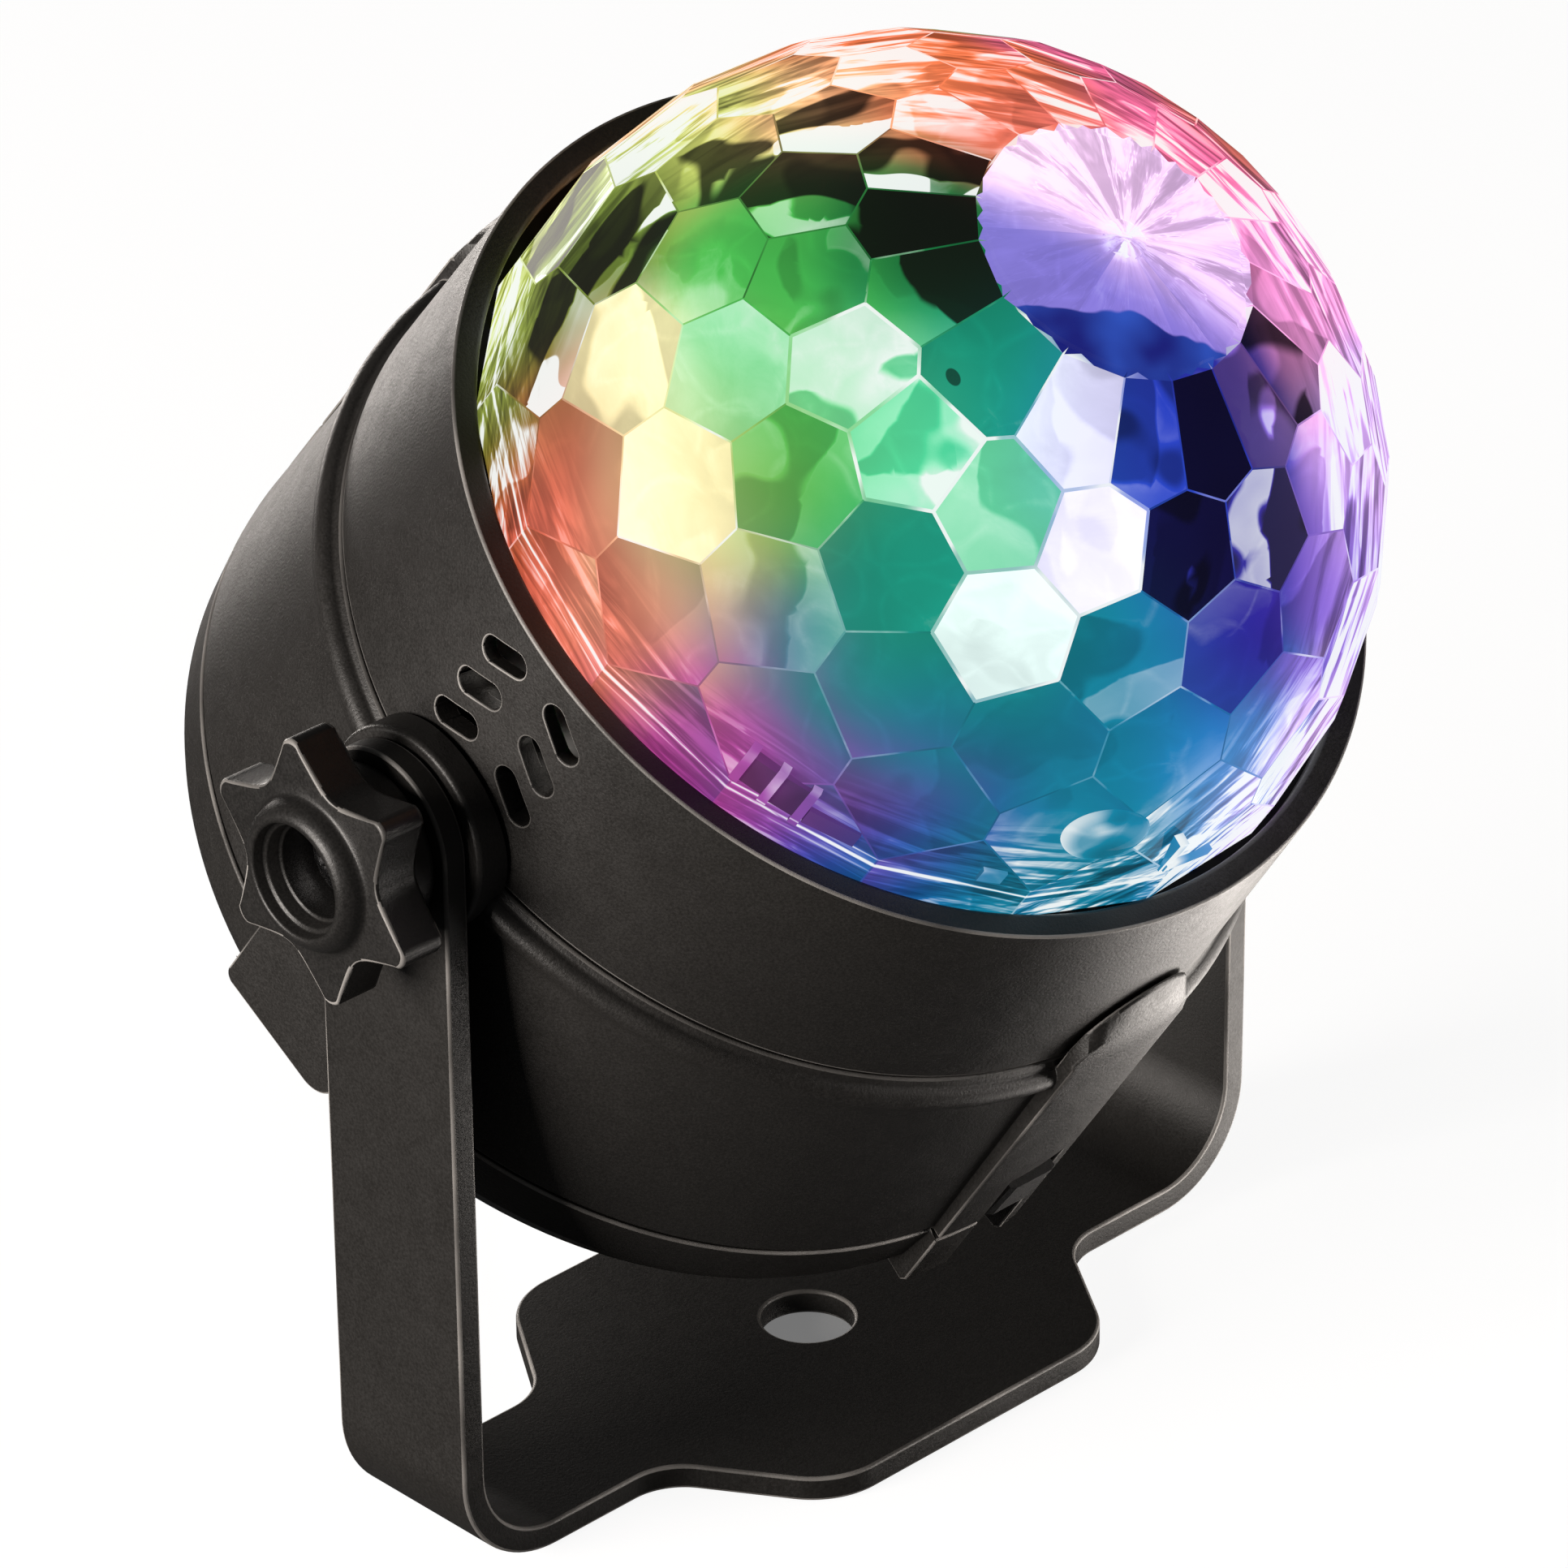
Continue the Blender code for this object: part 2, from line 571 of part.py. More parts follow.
bm = bmesh.new()
lathe(bm, [(5.0, LED_Z + 0.2), (33.4, LED_Z + 0.2), (33.8, LED_Z + 0.6), (33.8, LED_Z + 1.1), (31.0, LED_Z + 1.9),
           (24.0, LED_Z + 1.5), (5.0, LED_Z + 1.5)], 28)
led_cover = add("led_cover", bm, ((0.03, 0.03, 0.03), 0.2), tilt_axis)
bm = bmesh.new()
for name, az, rgb in LEDS:
    verts = lathe(bm, [(0, LED_Z - 1), (4.4, LED_Z - 1), (4.4, LED_Z + 0.5), (5.8, LED_Z + 3), (0, LED_Z + 3)], 12, closed=False)
    move(bm, verts, turned(az) @ Matrix.Translation((LED_R, 0, 0)))
verts = box(bm, -3.6, 3.6, -25.2, -18.8, LED_Z - 1, LED_Z + 4)
boolean(led_cover, tool("cut_led_holes", bm, tilt_axis))

bm = bmesh.new()
box(bm, -3.2, 3.2, -24.8, -19.2, LED_Z, LED_Z + 3.2)
ir = add("ir_receiver", bm, ((0.02, 0.015, 0.02), 0.12), tilt_axis)
bm = bmesh.new()
lathe(bm, [(0, LED_Z + 2), (2.2, LED_Z + 2), (2.2, LED_Z + 3.5), (1.5, LED_Z + 4.3), (0, LED_Z + 4.6)], 20, closed=False)
for v in bm.verts:
    v.co.y -= 22.0
boolean(ir, tool("join_ir_lens", bm, tilt_axis), "UNION")

# ---------------------------------------------------------------- drive: motor, gearbox, plate, shaft
PLATE_Z1 = SHELF_TOP - SHELF_T - 0.3
bm = bmesh.new()
bar = arc(30, 0, 9, -90, 90, 8) + arc(-30, 0, 9, 90, 270, 8)
verts = prism(bm, bar, PLATE_Z1 - 1.5, PLATE_Z1)
move(bm, verts, turned(112))
plate = add("motor_plate", bm, STEEL, tilt_axis)
bm = bmesh.new()
rod(bm, 4.0, 5, 15)
for az in (90, -90):
    verts = rod(bm, 1.5, 8, 15, 10)
    move(bm, verts, turned(az + 22) @ Matrix.Translation((36.8, 0, 0)))
boolean(plate, tool("cut_plate_holes", bm, tilt_axis))
for k, az in enumerate((90, -90)):
    bm = bmesh.new()
    verts = pan_screw(bm, 2.3, 1.3, 1.1, 3.2)
    move(bm, verts, turned(az + 22) @ Matrix.Translation((36.8, 0, PLATE_Z1 - 1.8)) @ Matrix.Rotation(math.pi, 4, "X"))
    add(f"plate_screw_{k + 1}", bm, STEEL, tilt_axis)

GEAR_Z1 = PLATE_Z1 - 1.8
bm = bmesh.new()
lathe(bm, [(0, GEAR_Z1 - 8), (12.4, GEAR_Z1 - 8), (13, GEAR_Z1 - 7.4), (13, GEAR_Z1 - 0.6), (12.4, GEAR_Z1), (3.7, GEAR_Z1),
           (3.7, GEAR_Z1 + 1.6), (1.8, GEAR_Z1 + 1.6), (1.8, GEAR_Z1 - 6), (0, GEAR_Z1 - 6)], 24, closed=False)
add("gearbox", bm, ((0.75, 0.75, 0.72), 0.45), tilt_axis)
bm = bmesh.new()
lathe(bm, [(0, GEAR_Z1 - 19), (3, GEAR_Z1 - 19), (3.2, GEAR_Z1 - 18), (10.2, GEAR_Z1 - 18), (11, GEAR_Z1 - 17.2),
           (11, GEAR_Z1 - 8.3), (0, GEAR_Z1 - 8.3)], 24, closed=False)
add("motor", bm, STEEL, tilt_axis)

# ---------------------------------------------------------------- control board, microphone
bm = bmesh.new()
box(bm, -26, 26, -16, 16, -29.6, -28.0)
control = add("control_board", bm, BOARD, tilt_axis)
bm = bmesh.new()
box(bm, -8, 2, -6, 4, -28.5, -26.2)
box(bm, 8, 14, -10, -4, -28.5, -25.0)
box(bm, -20, -14, -10, -2, -28.5, -24.5)
boolean(control, tool("join_chips", bm, tilt_axis), "UNION")
bm = bmesh.new()
lathe(bm, [(0, -27.7), (3.0, -27.7), (3.0, -23.2), (2.6, -22.9), (1.0, -22.9), (1.0, -23.5), (0, -23.5)], 14, closed=False)
for v in bm.verts:
    v.co += Vector((18, 8, 0))
add("microphone", bm, STEEL, tilt_axis)

# ---------------------------------------------------------------- crystal dome and what turns with it


def facet_normals():
    """Rings of flat facets round the spin axis, every other ring shifted by half a facet."""
    for k, polar in enumerate(RING_POLAR):
        for i in range(FACETS):
            az = PHASE[k % 2] + 360 / FACETS * i
            if k == 0 and i in (9, 10):
                if i == 10:
                    continue
                az += 180 / FACETS  # one double-width facet beside the apex disc
            t, a = math.radians(polar), math.radians(az)
            yield Vector((math.sin(t) * math.cos(a), math.sin(t) * math.sin(a), math.cos(t)))


def cut_gem():
    """A block with one flat ground for each facet."""
    gem = bmesh.new()
    box(gem, -42, 42, -42, 42, SKIRT_Z, APEX_Z)
    for n in facet_normals():
        found = bmesh.ops.bisect_plane(
            gem, geom=gem.verts[:] + gem.edges[:] + gem.faces[:], dist=1e-5,
            plane_co=n * FACET_R, plane_no=n, clear_outer=True,
        )
        rim = [e for e in found["geom_cut"] if isinstance(e, bmesh.types.BMEdge)]
        if len(rim) > 2:
            bmesh.ops.contextual_create(gem, geom=rim)
    return gem


dome = add("crystal_dome", cut_gem(), CLEAR, spin_axis, angle=3.0)

bm = bmesh.new()
rings = []
RIBS = 24
for r, z, lift in ((12.2, APEX_Z - 0.8, 0), (12.2, APEX_Z + 0.12, 0.25), (6.5, APEX_Z + 1.25, 0.22), (1.9, APEX_Z + 1.75, 0)):
    rings.append([bm.verts.new((r * math.cos(2 * math.pi * k / RIBS), r * math.sin(2 * math.pi * k / RIBS),
                                z + (lift if k % 2 else 0))) for k in range(RIBS)])
rings.append([bm.verts.new((1.5 * math.cos(2 * math.pi * k / RIBS), 1.5 * math.sin(2 * math.pi * k / RIBS), APEX_Z + 2.2))
              for k in range(RIBS)])
for a, b in zip(rings, rings[1:]):
    for k in range(RIBS):
        j = (k + 1) % RIBS
        bm.faces.new((a[k], a[j], b[j]))
        bm.faces.new((a[k], b[j], b[k]))
bm.faces.new(rings[0][::-1])
bm.faces.new(rings[-1])
boolean(dome, tool("join_apex_disc", bm, spin_axis), "UNION")

bm = bmesh.new()
lathe(bm, [(0, SKIRT_Z + 0.02), (FLANGE_R, SKIRT_Z + 0.02), (FLANGE_R, SKIRT_Z + FLANGE_T), (0, SKIRT_Z + FLANGE_T)], closed=False)
boolean(dome, tool("join_flange", bm, spin_axis), "UNION")

bm = bmesh.new()
bowl = [(37.4, SKIRT_Z - 2), (37.4, -0.6)]
bowl += [(DOME_IN_R * math.cos(math.radians(a)), DOME_IN_R * math.sin(math.radians(a))) for a in range(4, 88, 12)]
lathe(bm, [(0, SKIRT_Z - 2)] + bowl + [(0, DOME_IN_R)], 30, closed=False)
boolean(dome, tool("cut_bowl", bm, spin_axis))

LUGS = (222, 342, 102)
bm = bmesh.new()
lathe(bm, [(34.4, -2.9), (37.0, -2.9), (37.0, -0.9), (34.4, -0.9)])
guide = add("dome_guide_ring", bm, CLEAR, spin_axis)
bm = bmesh.new()
for az in LUGS:
    for step in (-5.4, 0, 5.4):
        verts = box(bm, 33.6, 35.6, -0.7, 0.7, -2.0, 5.2)
        move(bm, verts, turned(az + step))
    verts = sector(bm, [(34.8, -2.0), (35.9, -2.0), (35.4, 3.4), (34.8, 3.4)], 26, 44, 6)
    move(bm, verts, turned(az))
boolean(guide, tool("join_lugs", bm, spin_axis), "UNION")

bm = bmesh.new()
lathe(bm, [(0, 22), (1.8, 22), (1.8, -3.0), (3.2, -3.0), (3.6, 20), (4.1, 31), (6.3, 34.9), (6.3, 35.4), (0, 36.0)], 20, closed=False)
add("dome_post", bm, CLEAR, spin_axis)

bm = bmesh.new()
rod(bm, 1.5, GEAR_Z1 - 5.7 - BALL_Z, 21.0)
add("drive_shaft", bm, STEEL, spin_axis)

# ---------------------------------------------------------------- knobs and their screws


def star_outline():
    """Six tips with a hollow arc between each two, and a small flat nose on each tip."""
    out = []
    step = 360 / KNOB_TIPS
    nose = 4.2
    for k in range(KNOB_TIPS):
        a0, a1 = KNOB_PHASE + k * step + nose, KNOB_PHASE + (k + 1) * step - nose
        out.append((KNOB_TIP_R * math.cos(math.radians(a0 - nose)), KNOB_TIP_R * math.sin(math.radians(a0 - nose))))
        for i in range(6):
            t = i / 5
            r = (KNOB_TIP_R - 0.25) - (KNOB_TIP_R - 0.25 - KNOB_VALLEY_R) * math.sin(math.pi * t) ** 0.8
            a = math.radians(a0 + (a1 - a0) * t)
            out.append((r * math.cos(a), r * math.sin(a)))
    return out


for side, sign in SIDES:
    axis = knob_axis[side]
    bm = bmesh.new()
    star = star_outline()
    if sign < 0:
        # seen from outside, the left knob's star is measured from +Y towards +Z
        star = [(y, x) for x, y in star][::-1]
    else:
        star = [(-y, x) for x, y in star]
    low = [bm.verts.new((x * 0.975, y * 0.975, KNOB_BACK)) for x, y in star]
    mid = [bm.verts.new((x, y, KNOB_BACK + 0.5)) for x, y in star]
    top = [bm.verts.new((x, y, KNOB_FACE - 0.5)) for x, y in star]
    face = [bm.verts.new((x * 0.965, y * 0.965, KNOB_FACE)) for x, y in star]
    n = len(star)
    for a, b in ((low, mid), (mid, top), (top, face)):
        for k in range(n):
            j = (k + 1) % n
            bm.faces.new((a[k], a[j], b[j], b[k]))
    bm.faces.new(low[::-1])
    bm.faces.new(face)
    knob = add("knob_" + side, bm, BLACK, axis)
    bm = bmesh.new()
    lathe(bm, [(0, KNOB_GAP), (7.2, KNOB_GAP), (7.6, KNOB_GAP + 0.4), (7.6, KNOB_BACK + 0.6), (7.4, KNOB_FACE - 0.3),
               (7.2, KNOB_FACE + 0.1), (6.8, KNOB_FACE + 0.6), (6.6, KNOB_FACE + 1.2), (6.1, KNOB_LIP - 0.2), (5.4, KNOB_LIP),
               (0, KNOB_LIP)], 20, closed=False)
    boolean(knob, tool("join_hub_" + side, bm, axis), "UNION")
    bm = bmesh.new()
    lathe(bm, [(0, 12), (5.1, 12), (5.1, KNOB_LIP - 1.0), (4.5, KNOB_LIP - 1.3), (4.5, 2.4), (2.3, 2.4), (2.3, -1), (0, -1)], 16,
          closed=False)
    boolean(knob, tool("cut_hub_" + side, bm, axis))
    bm = bmesh.new()
    verts = pan_screw(bm, 4.0, 2.5, 2.0, ARM_OUT - 36.3 + 2.7, 16)
    move(bm, verts, Matrix.Translation((0, 0, 2.7)))
    screw = add("knob_screw_" + side, bm, DARK_STEEL, axis)
    bm = bmesh.new()
    verts = prism(bm, cross_outline(2.2, 0.38), 3.9, 7)
    boolean(screw, tool("cut_cross_" + side, bm, axis))

bpy.context.view_layer.update()
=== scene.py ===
import json
import math
import random

import bmesh
import bpy
from mathutils import Matrix, Vector

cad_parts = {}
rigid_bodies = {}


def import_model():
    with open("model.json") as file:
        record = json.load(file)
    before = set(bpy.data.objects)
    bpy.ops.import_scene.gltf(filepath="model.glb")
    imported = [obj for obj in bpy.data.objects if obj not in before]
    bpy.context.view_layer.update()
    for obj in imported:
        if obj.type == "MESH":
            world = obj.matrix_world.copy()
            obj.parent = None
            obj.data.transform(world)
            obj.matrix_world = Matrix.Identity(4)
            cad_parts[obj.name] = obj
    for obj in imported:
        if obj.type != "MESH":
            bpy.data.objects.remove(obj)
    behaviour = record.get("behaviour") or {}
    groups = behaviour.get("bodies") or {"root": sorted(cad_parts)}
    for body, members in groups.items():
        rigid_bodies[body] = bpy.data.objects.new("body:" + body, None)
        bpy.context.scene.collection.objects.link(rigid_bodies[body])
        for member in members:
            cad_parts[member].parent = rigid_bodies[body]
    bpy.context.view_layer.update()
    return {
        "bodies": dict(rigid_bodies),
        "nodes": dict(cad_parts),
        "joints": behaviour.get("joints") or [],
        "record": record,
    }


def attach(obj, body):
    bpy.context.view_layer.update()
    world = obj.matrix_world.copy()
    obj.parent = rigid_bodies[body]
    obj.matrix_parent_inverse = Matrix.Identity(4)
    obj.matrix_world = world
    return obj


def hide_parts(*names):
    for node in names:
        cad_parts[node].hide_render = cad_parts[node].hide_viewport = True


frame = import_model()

scene = bpy.context.scene
MM = 0.001

# ---------------------------------------------------------------- dimensions, in millimetres
PIVOT_Y, PIVOT_Z = -1.90, 72.1
ARM_OUT, STRAP_T, STRAP_W, BEND_R, ARM_END = 49.77, 2.44, 16.33, 10.7, 0.35
LOBE_Y, LOBE_X, LOBE_R = 21.75, 12.9, 8.0
WAIST_X, WAIST_R = 29.4, 6.0
BASE_HOLE_R, ARM_HOLE_R = 4.34, 2.6
TILT_DEG, BALL_Z, TURN = 36.42, 24.6, 2.3

RIM_R, RIM_Z = 43.1, 24.4
FRONT_LOW_R, FRONT_LOW_Z = 44.2, 1.9
LIP_R, LIP_T, FRONT_IN_R = 40.7, 1.8, 41.85
SHELF_TOP, SHELF_T, SHELF_IN_R = 13.7, 1.5, 34.5
RIDGE_R, REAR_TOP_R, REAR_LOW_R = 45.75, 44.9, 46.3
SEAM_Z, BACK_Z = -26.4, -34.6
PAD_HALF, PAD_CREST_R, PAD_CREST_Z, PAD_LOW_R, PAD_RAMP = 7.4, 46.2, 2.5, 47.4, 7.4
SIDE_PAD_X, SIDE_PAD_Z = 46.9, (-33.8, -10.8)
VENT_AT, VENT_TURN, VENT_SLANT = 0.5, 5.45, 31.0
VENT_Z, VENT_LONG, VENT_HIGH = (20.0, 15.1, 10.4), 5.5, 2.4
NOTCH_X0, NOTCH_X1, NOTCH_FLOOR, NOTCH_TOP = -0.4, 6.6, 44.75, -19.4
POST_R, POST_AZ = 39.4, (45, 135, 225, 315)

FACETS, FACET_R = 18, 39.6
RING_POLAR = (26.0, 38.5, 51.0, 64.0, 76.5, 88.5)
PHASE = (4.0, 14.0)
DOME_IN_R, APEX_Z, SKIRT_Z = 36.4, 37.95, -3.4
FLANGE_R, FLANGE_T = 41.4, 1.3

TIP_R, VALLEY_R, TIPS, KNOB_PHASE = 12.1, 8.5, 6, 20.0
KNOB_BACK, KNOB_FACE, KNOB_LIP, KNOB_GAP = 3.2, 7.8, 9.7, 0.3

ROUND = 192          # segments of the large round shells

WORLD = Matrix.Identity(4)
HEAD = Matrix.Translation((0, PIVOT_Y * MM, PIVOT_Z * MM)) @ Matrix.Rotation(math.radians(TILT_DEG), 4, "X")
DOME = HEAD @ Matrix.Translation((0, 0, BALL_Z * MM))
KNOB = {
    side: Matrix.Translation((sign * ARM_OUT * MM, PIVOT_Y * MM, PIVOT_Z * MM))
    @ Matrix.Rotation(math.radians(sign * 90), 4, "Y")
    for side, sign in (("left", -1), ("right", 1))
}

# ---------------------------------------------------------------- camera
A, E, ROLL, FAR, SHIFT_X, SHIFT_Y = -0.7693, 0.502, -0.0091, 750.55, -2.1817, 51.0468
back = Vector((math.sin(A) * math.cos(E), -math.cos(A) * math.cos(E), math.sin(E)))
right = Vector((math.cos(A), math.sin(A), 0))
up = back.cross(right)
right, up = right * math.cos(ROLL) + up * math.sin(ROLL), up * math.cos(ROLL) - right * math.sin(ROLL)
eye = back * FAR + right * SHIFT_X + up * SHIFT_Y
eye.y += PIVOT_Y
lens = bpy.data.cameras.new("camera")
lens.sensor_width = 36
lens.lens = 187.18
lens.clip_start = 0.01
lens.clip_end = 50
camera = bpy.data.objects.new("camera", lens)
pose = Matrix((right, up, back)).transposed().to_4x4()
pose.translation = eye * MM
camera.matrix_world = pose
scene.collection.objects.link(camera)
scene.camera = camera

# ---------------------------------------------------------------- mesh helpers


def lathe(bm, profile, n=ROUND, closed=True):
    """Turns a profile of (radius, z) about z. closed: a ring's outline; open: ends on the axis."""
    rings = []
    for r, z in profile:
        if r < 1e-6:
            rings.append([bm.verts.new((0, 0, z))])
        else:
            rings.append([
                bm.verts.new((r * math.cos(2 * math.pi * k / n), r * math.sin(2 * math.pi * k / n), z))
                for k in range(n)
            ])
    made = [v for ring in rings for v in ring]
    follow = rings[1:] + ([rings[0]] if closed else [])
    for a, b in zip(rings, follow):
        for k in range(n):
            j = (k + 1) % n
            if len(a) == 1 and len(b) == 1:
                continue
            if len(a) == 1:
                bm.faces.new((a[0], b[j], b[k]))
            elif len(b) == 1:
                bm.faces.new((a[k], a[j], b[0]))
            else:
                bm.faces.new((a[k], a[j], b[j], b[k]))
    return made


def prism(bm, outline, z0, z1):
    low = [bm.verts.new((x, y, z0)) for x, y in outline]
    high = [bm.verts.new((x, y, z1)) for x, y in outline]
    bm.faces.new(low[::-1])
    bm.faces.new(high)
    n = len(outline)
    for k in range(n):
        j = (k + 1) % n
        bm.faces.new((low[k], low[j], high[j], high[k]))
    return low + high


def block(bm, x0, x1, y0, y1, z0, z1):
    return prism(bm, [(x0, y0), (x1, y0), (x1, y1), (x0, y1)], z0, z1)


def sector(bm, profile, a0, a1, steps):
    rows = []
    for s in range(steps + 1):
        a = math.radians(a0 + (a1 - a0) * s / steps)
        outline = profile(2 * s / steps - 1) if callable(profile) else profile
        rows.append([bm.verts.new((r * math.cos(a), r * math.sin(a), z)) for r, z in outline])
    n = len(rows[0])
    for p, q in zip(rows, rows[1:]):
        for k in range(n):
            j = (k + 1) % n
            bm.faces.new((p[k], p[j], q[j], q[k]))
    bm.faces.new(rows[0][::-1])
    bm.faces.new(rows[-1])
    return [v for row in rows for v in row]


def arc(cx, cy, r, a0, a1, steps):
    return [
        (cx + r * math.cos(math.radians(a0 + (a1 - a0) * k / steps)),
         cy + r * math.sin(math.radians(a0 + (a1 - a0) * k / steps)))
        for k in range(steps + 1)
    ]


def rounded(profile, radii, steps=4, closed=True):
    """The same (radius, z) profile with its corners rounded. radii gives a radius for each corner, or one for all."""
    out = []
    n = len(profile)
    for k, (x, y) in enumerate(profile):
        r = radii if isinstance(radii, (int, float)) else radii[k]
        if r <= 0 or (not closed and k in (0, n - 1)):
            out.append((x, y))
            continue
        p, a, b = Vector((x, y)), Vector(profile[k - 1]), Vector(profile[(k + 1) % n])
        u, v = a - p, b - p
        lu, lv = u.length, v.length
        u, v = u / lu, v / lv
        half = math.acos(max(-1, min(1, u.dot(v)))) / 2
        if half > math.radians(88):
            out.append((x, y))
            continue
        cut = min(r / math.tan(half), 0.46 * lu, 0.46 * lv)
        r = cut * math.tan(half)
        centre = p + (u + v).normalized() * (r / math.sin(half))
        s, t = p + u * cut, p + v * cut
        a0 = math.atan2(*(s - centre).yx)
        a1 = math.atan2(*(t - centre).yx)
        while a1 - a0 > math.pi:
            a1 -= 2 * math.pi
        while a1 - a0 < -math.pi:
            a1 += 2 * math.pi
        for i in range(steps + 1):
            w = a0 + (a1 - a0) * i / steps
            out.append((centre.x + r * math.cos(w), centre.y + r * math.sin(w)))
    return out


def turned(degrees):
    return Matrix.Rotation(math.radians(degrees), 4, "Z")


OUTWARD = Matrix(((0, 0, 1, 0), (1, 0, 0, 0), (0, 1, 0, 0), (0, 0, 0, 1)))


def move(bm, verts, matrix):
    bmesh.ops.transform(bm, matrix=matrix, verts=verts)


def rod(bm, r, z0, z1, n=48):
    return lathe(bm, [(0, z0), (r, z0), (r, z1), (0, z1)], n, closed=False)


def body(name, bm, matrix=WORLD):
    """The mesh, made in millimetres, as an object in the row frame, in metres."""
    bmesh.ops.recalc_face_normals(bm, faces=bm.faces)
    bmesh.ops.scale(bm, vec=(MM, MM, MM), verts=bm.verts)
    bmesh.ops.transform(bm, matrix=matrix, verts=bm.verts)
    mesh = bpy.data.meshes.new(name)
    bm.to_mesh(mesh)
    bm.free()
    ob = bpy.data.objects.new(name, mesh)
    scene.collection.objects.link(ob)
    return ob


def settle(ob):
    """Applies the modifiers to the mesh."""
    bpy.context.view_layer.update()
    dg = bpy.context.evaluated_depsgraph_get()
    made = bpy.data.meshes.new_from_object(ob.evaluated_get(dg), preserve_all_data_layers=True, depsgraph=dg)
    old = ob.data
    ob.modifiers.clear()
    ob.data = made
    bpy.data.meshes.remove(old)
    made.name = ob.name
    return ob


def shape(ob, bm, matrix=WORLD, how="DIFFERENCE"):
    other = body("tool", bm, matrix)
    m = ob.modifiers.new("shape", "BOOLEAN")
    m.operation, m.object, m.solver = how, other, "EXACT"
    settle(ob)
    mesh = other.data
    bpy.data.objects.remove(other, do_unlink=True)
    bpy.data.meshes.remove(mesh)
    return ob


def weld(ob, distance):
    """Joins points that lie closer together than this many millimetres."""
    bm = bmesh.new()
    bm.from_mesh(ob.data)
    bmesh.ops.remove_doubles(bm, verts=bm.verts, dist=distance * MM)
    bm.to_mesh(ob.data)
    bm.free()


def soften(ob, width, angle=35.0, segments=3):
    """Rounds the sharp edges."""
    m = ob.modifiers.new("soften", "BEVEL")
    m.width = width * MM
    m.segments = segments
    m.limit_method = "ANGLE"
    m.angle_limit = math.radians(angle)
    m.use_clamp_overlap = False
    m.miter_outer = "MITER_ARC"
    return settle(ob)


def smooth(ob, angle=35.0):
    """Smooth shading where the surface is round, with flat faces kept flat."""
    ob.data.shade_smooth()
    ob.data.set_sharp_from_angle(angle=math.radians(angle))
    m = ob.modifiers.new("even", "WEIGHTED_NORMAL")
    m.mode = "FACE_AREA"
    m.weight = 50
    m.keep_sharp = True
    return settle(ob)


def even_wall(ob, frame, low, high):
    """Gives an outer wall that has openings in it the even normals of the plain cone that it is part of.
    low and high are points (radius, z) of the cone."""
    mesh, inverse = ob.data, frame.inverted()
    slope = (low[0] - high[0]) / (high[1] - low[1])
    on_cone = []
    for v in mesh.vertices:
        q = (inverse @ v.co) / MM
        on_cone.append(abs(math.hypot(q.x, q.y) - low[0] + slope * (q.z - low[1])) < 0.03)
    normals = [Vector(c.vector) for c in mesh.corner_normals]
    for p in mesh.polygons:
        at = inverse @ p.center
        flat = Vector((at.x, at.y, 0))
        level = flat.length > (high[0] - 0.2) * MM and (inverse.to_3x3() @ p.normal).dot(flat.normalized()) > 0.985
        if level or all(on_cone[v] for v in p.vertices):
            for c in p.loop_indices:
                q = inverse @ mesh.vertices[mesh.loops[c].vertex_index].co
                n = Vector((q.x, q.y, slope * math.hypot(q.x, q.y))).normalized()
                normals[c] = frame.to_3x3() @ n
    mesh.normals_split_custom_set(normals)


def mark_edges(ob, start):
    """Marks the small round-overs, so that the material can paint a light highlight line along them."""
    bm = bmesh.new()
    bm.from_mesh(ob.data)
    turn, bent = {}, {}
    for e in bm.edges:
        if len(e.link_faces) == 2 and e.is_convex:
            a, b = e.link_faces
            along = (e.verts[1].co - e.verts[0].co).normalized()
            gap = b.calc_center_median() - a.calc_center_median()
            gap = (gap - along * gap.dot(along)).length / MM
            angle = math.degrees(e.calc_face_angle(0))
            if angle > 7:
                for f in (a.index, b.index):
                    turn[f] = max(turn.get(f, 0), angle / max(gap, 1e-4))
                    bent[f] = bent.get(f, 0) + e.calc_length()
    for f in bm.faces:
        if bent.get(f.index, 0) < 0.62 * sum(e.calc_length() for e in f.edges):
            turn[f.index] = 0
    bm.free()
    edge = ob.data.attributes.new("edge", "FLOAT", "CORNER")
    for p in ob.data.polygons:
        k = max(0.0, min(1.0, (turn.get(p.index, 0) - start) / 60))
        for c in p.loop_indices:
            edge.data[c].value = k


def place(ob, ride, slot, material, *nodes):
    """Gives a piece its material, its body and the CAD nodes that it stands for."""
    if material in (BLACK, PAINT, KNOB_BLACK):
        mark_edges(ob, {BLACK: 135, PAINT: 115, KNOB_BLACK: 95}[material])
    ob.data.materials.clear()
    ob.data.materials.append(material)
    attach(ob, ride)
    if nodes:
        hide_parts(*nodes)
    return ob


# ---------------------------------------------------------------- materials


def linear(r, g, b):
    """From the usual 0-255 display values."""
    return tuple((v / 255 / 12.92) if v / 255 <= 0.04045 else ((v / 255 + 0.055) / 1.055) ** 2.4 for v in (r, g, b))


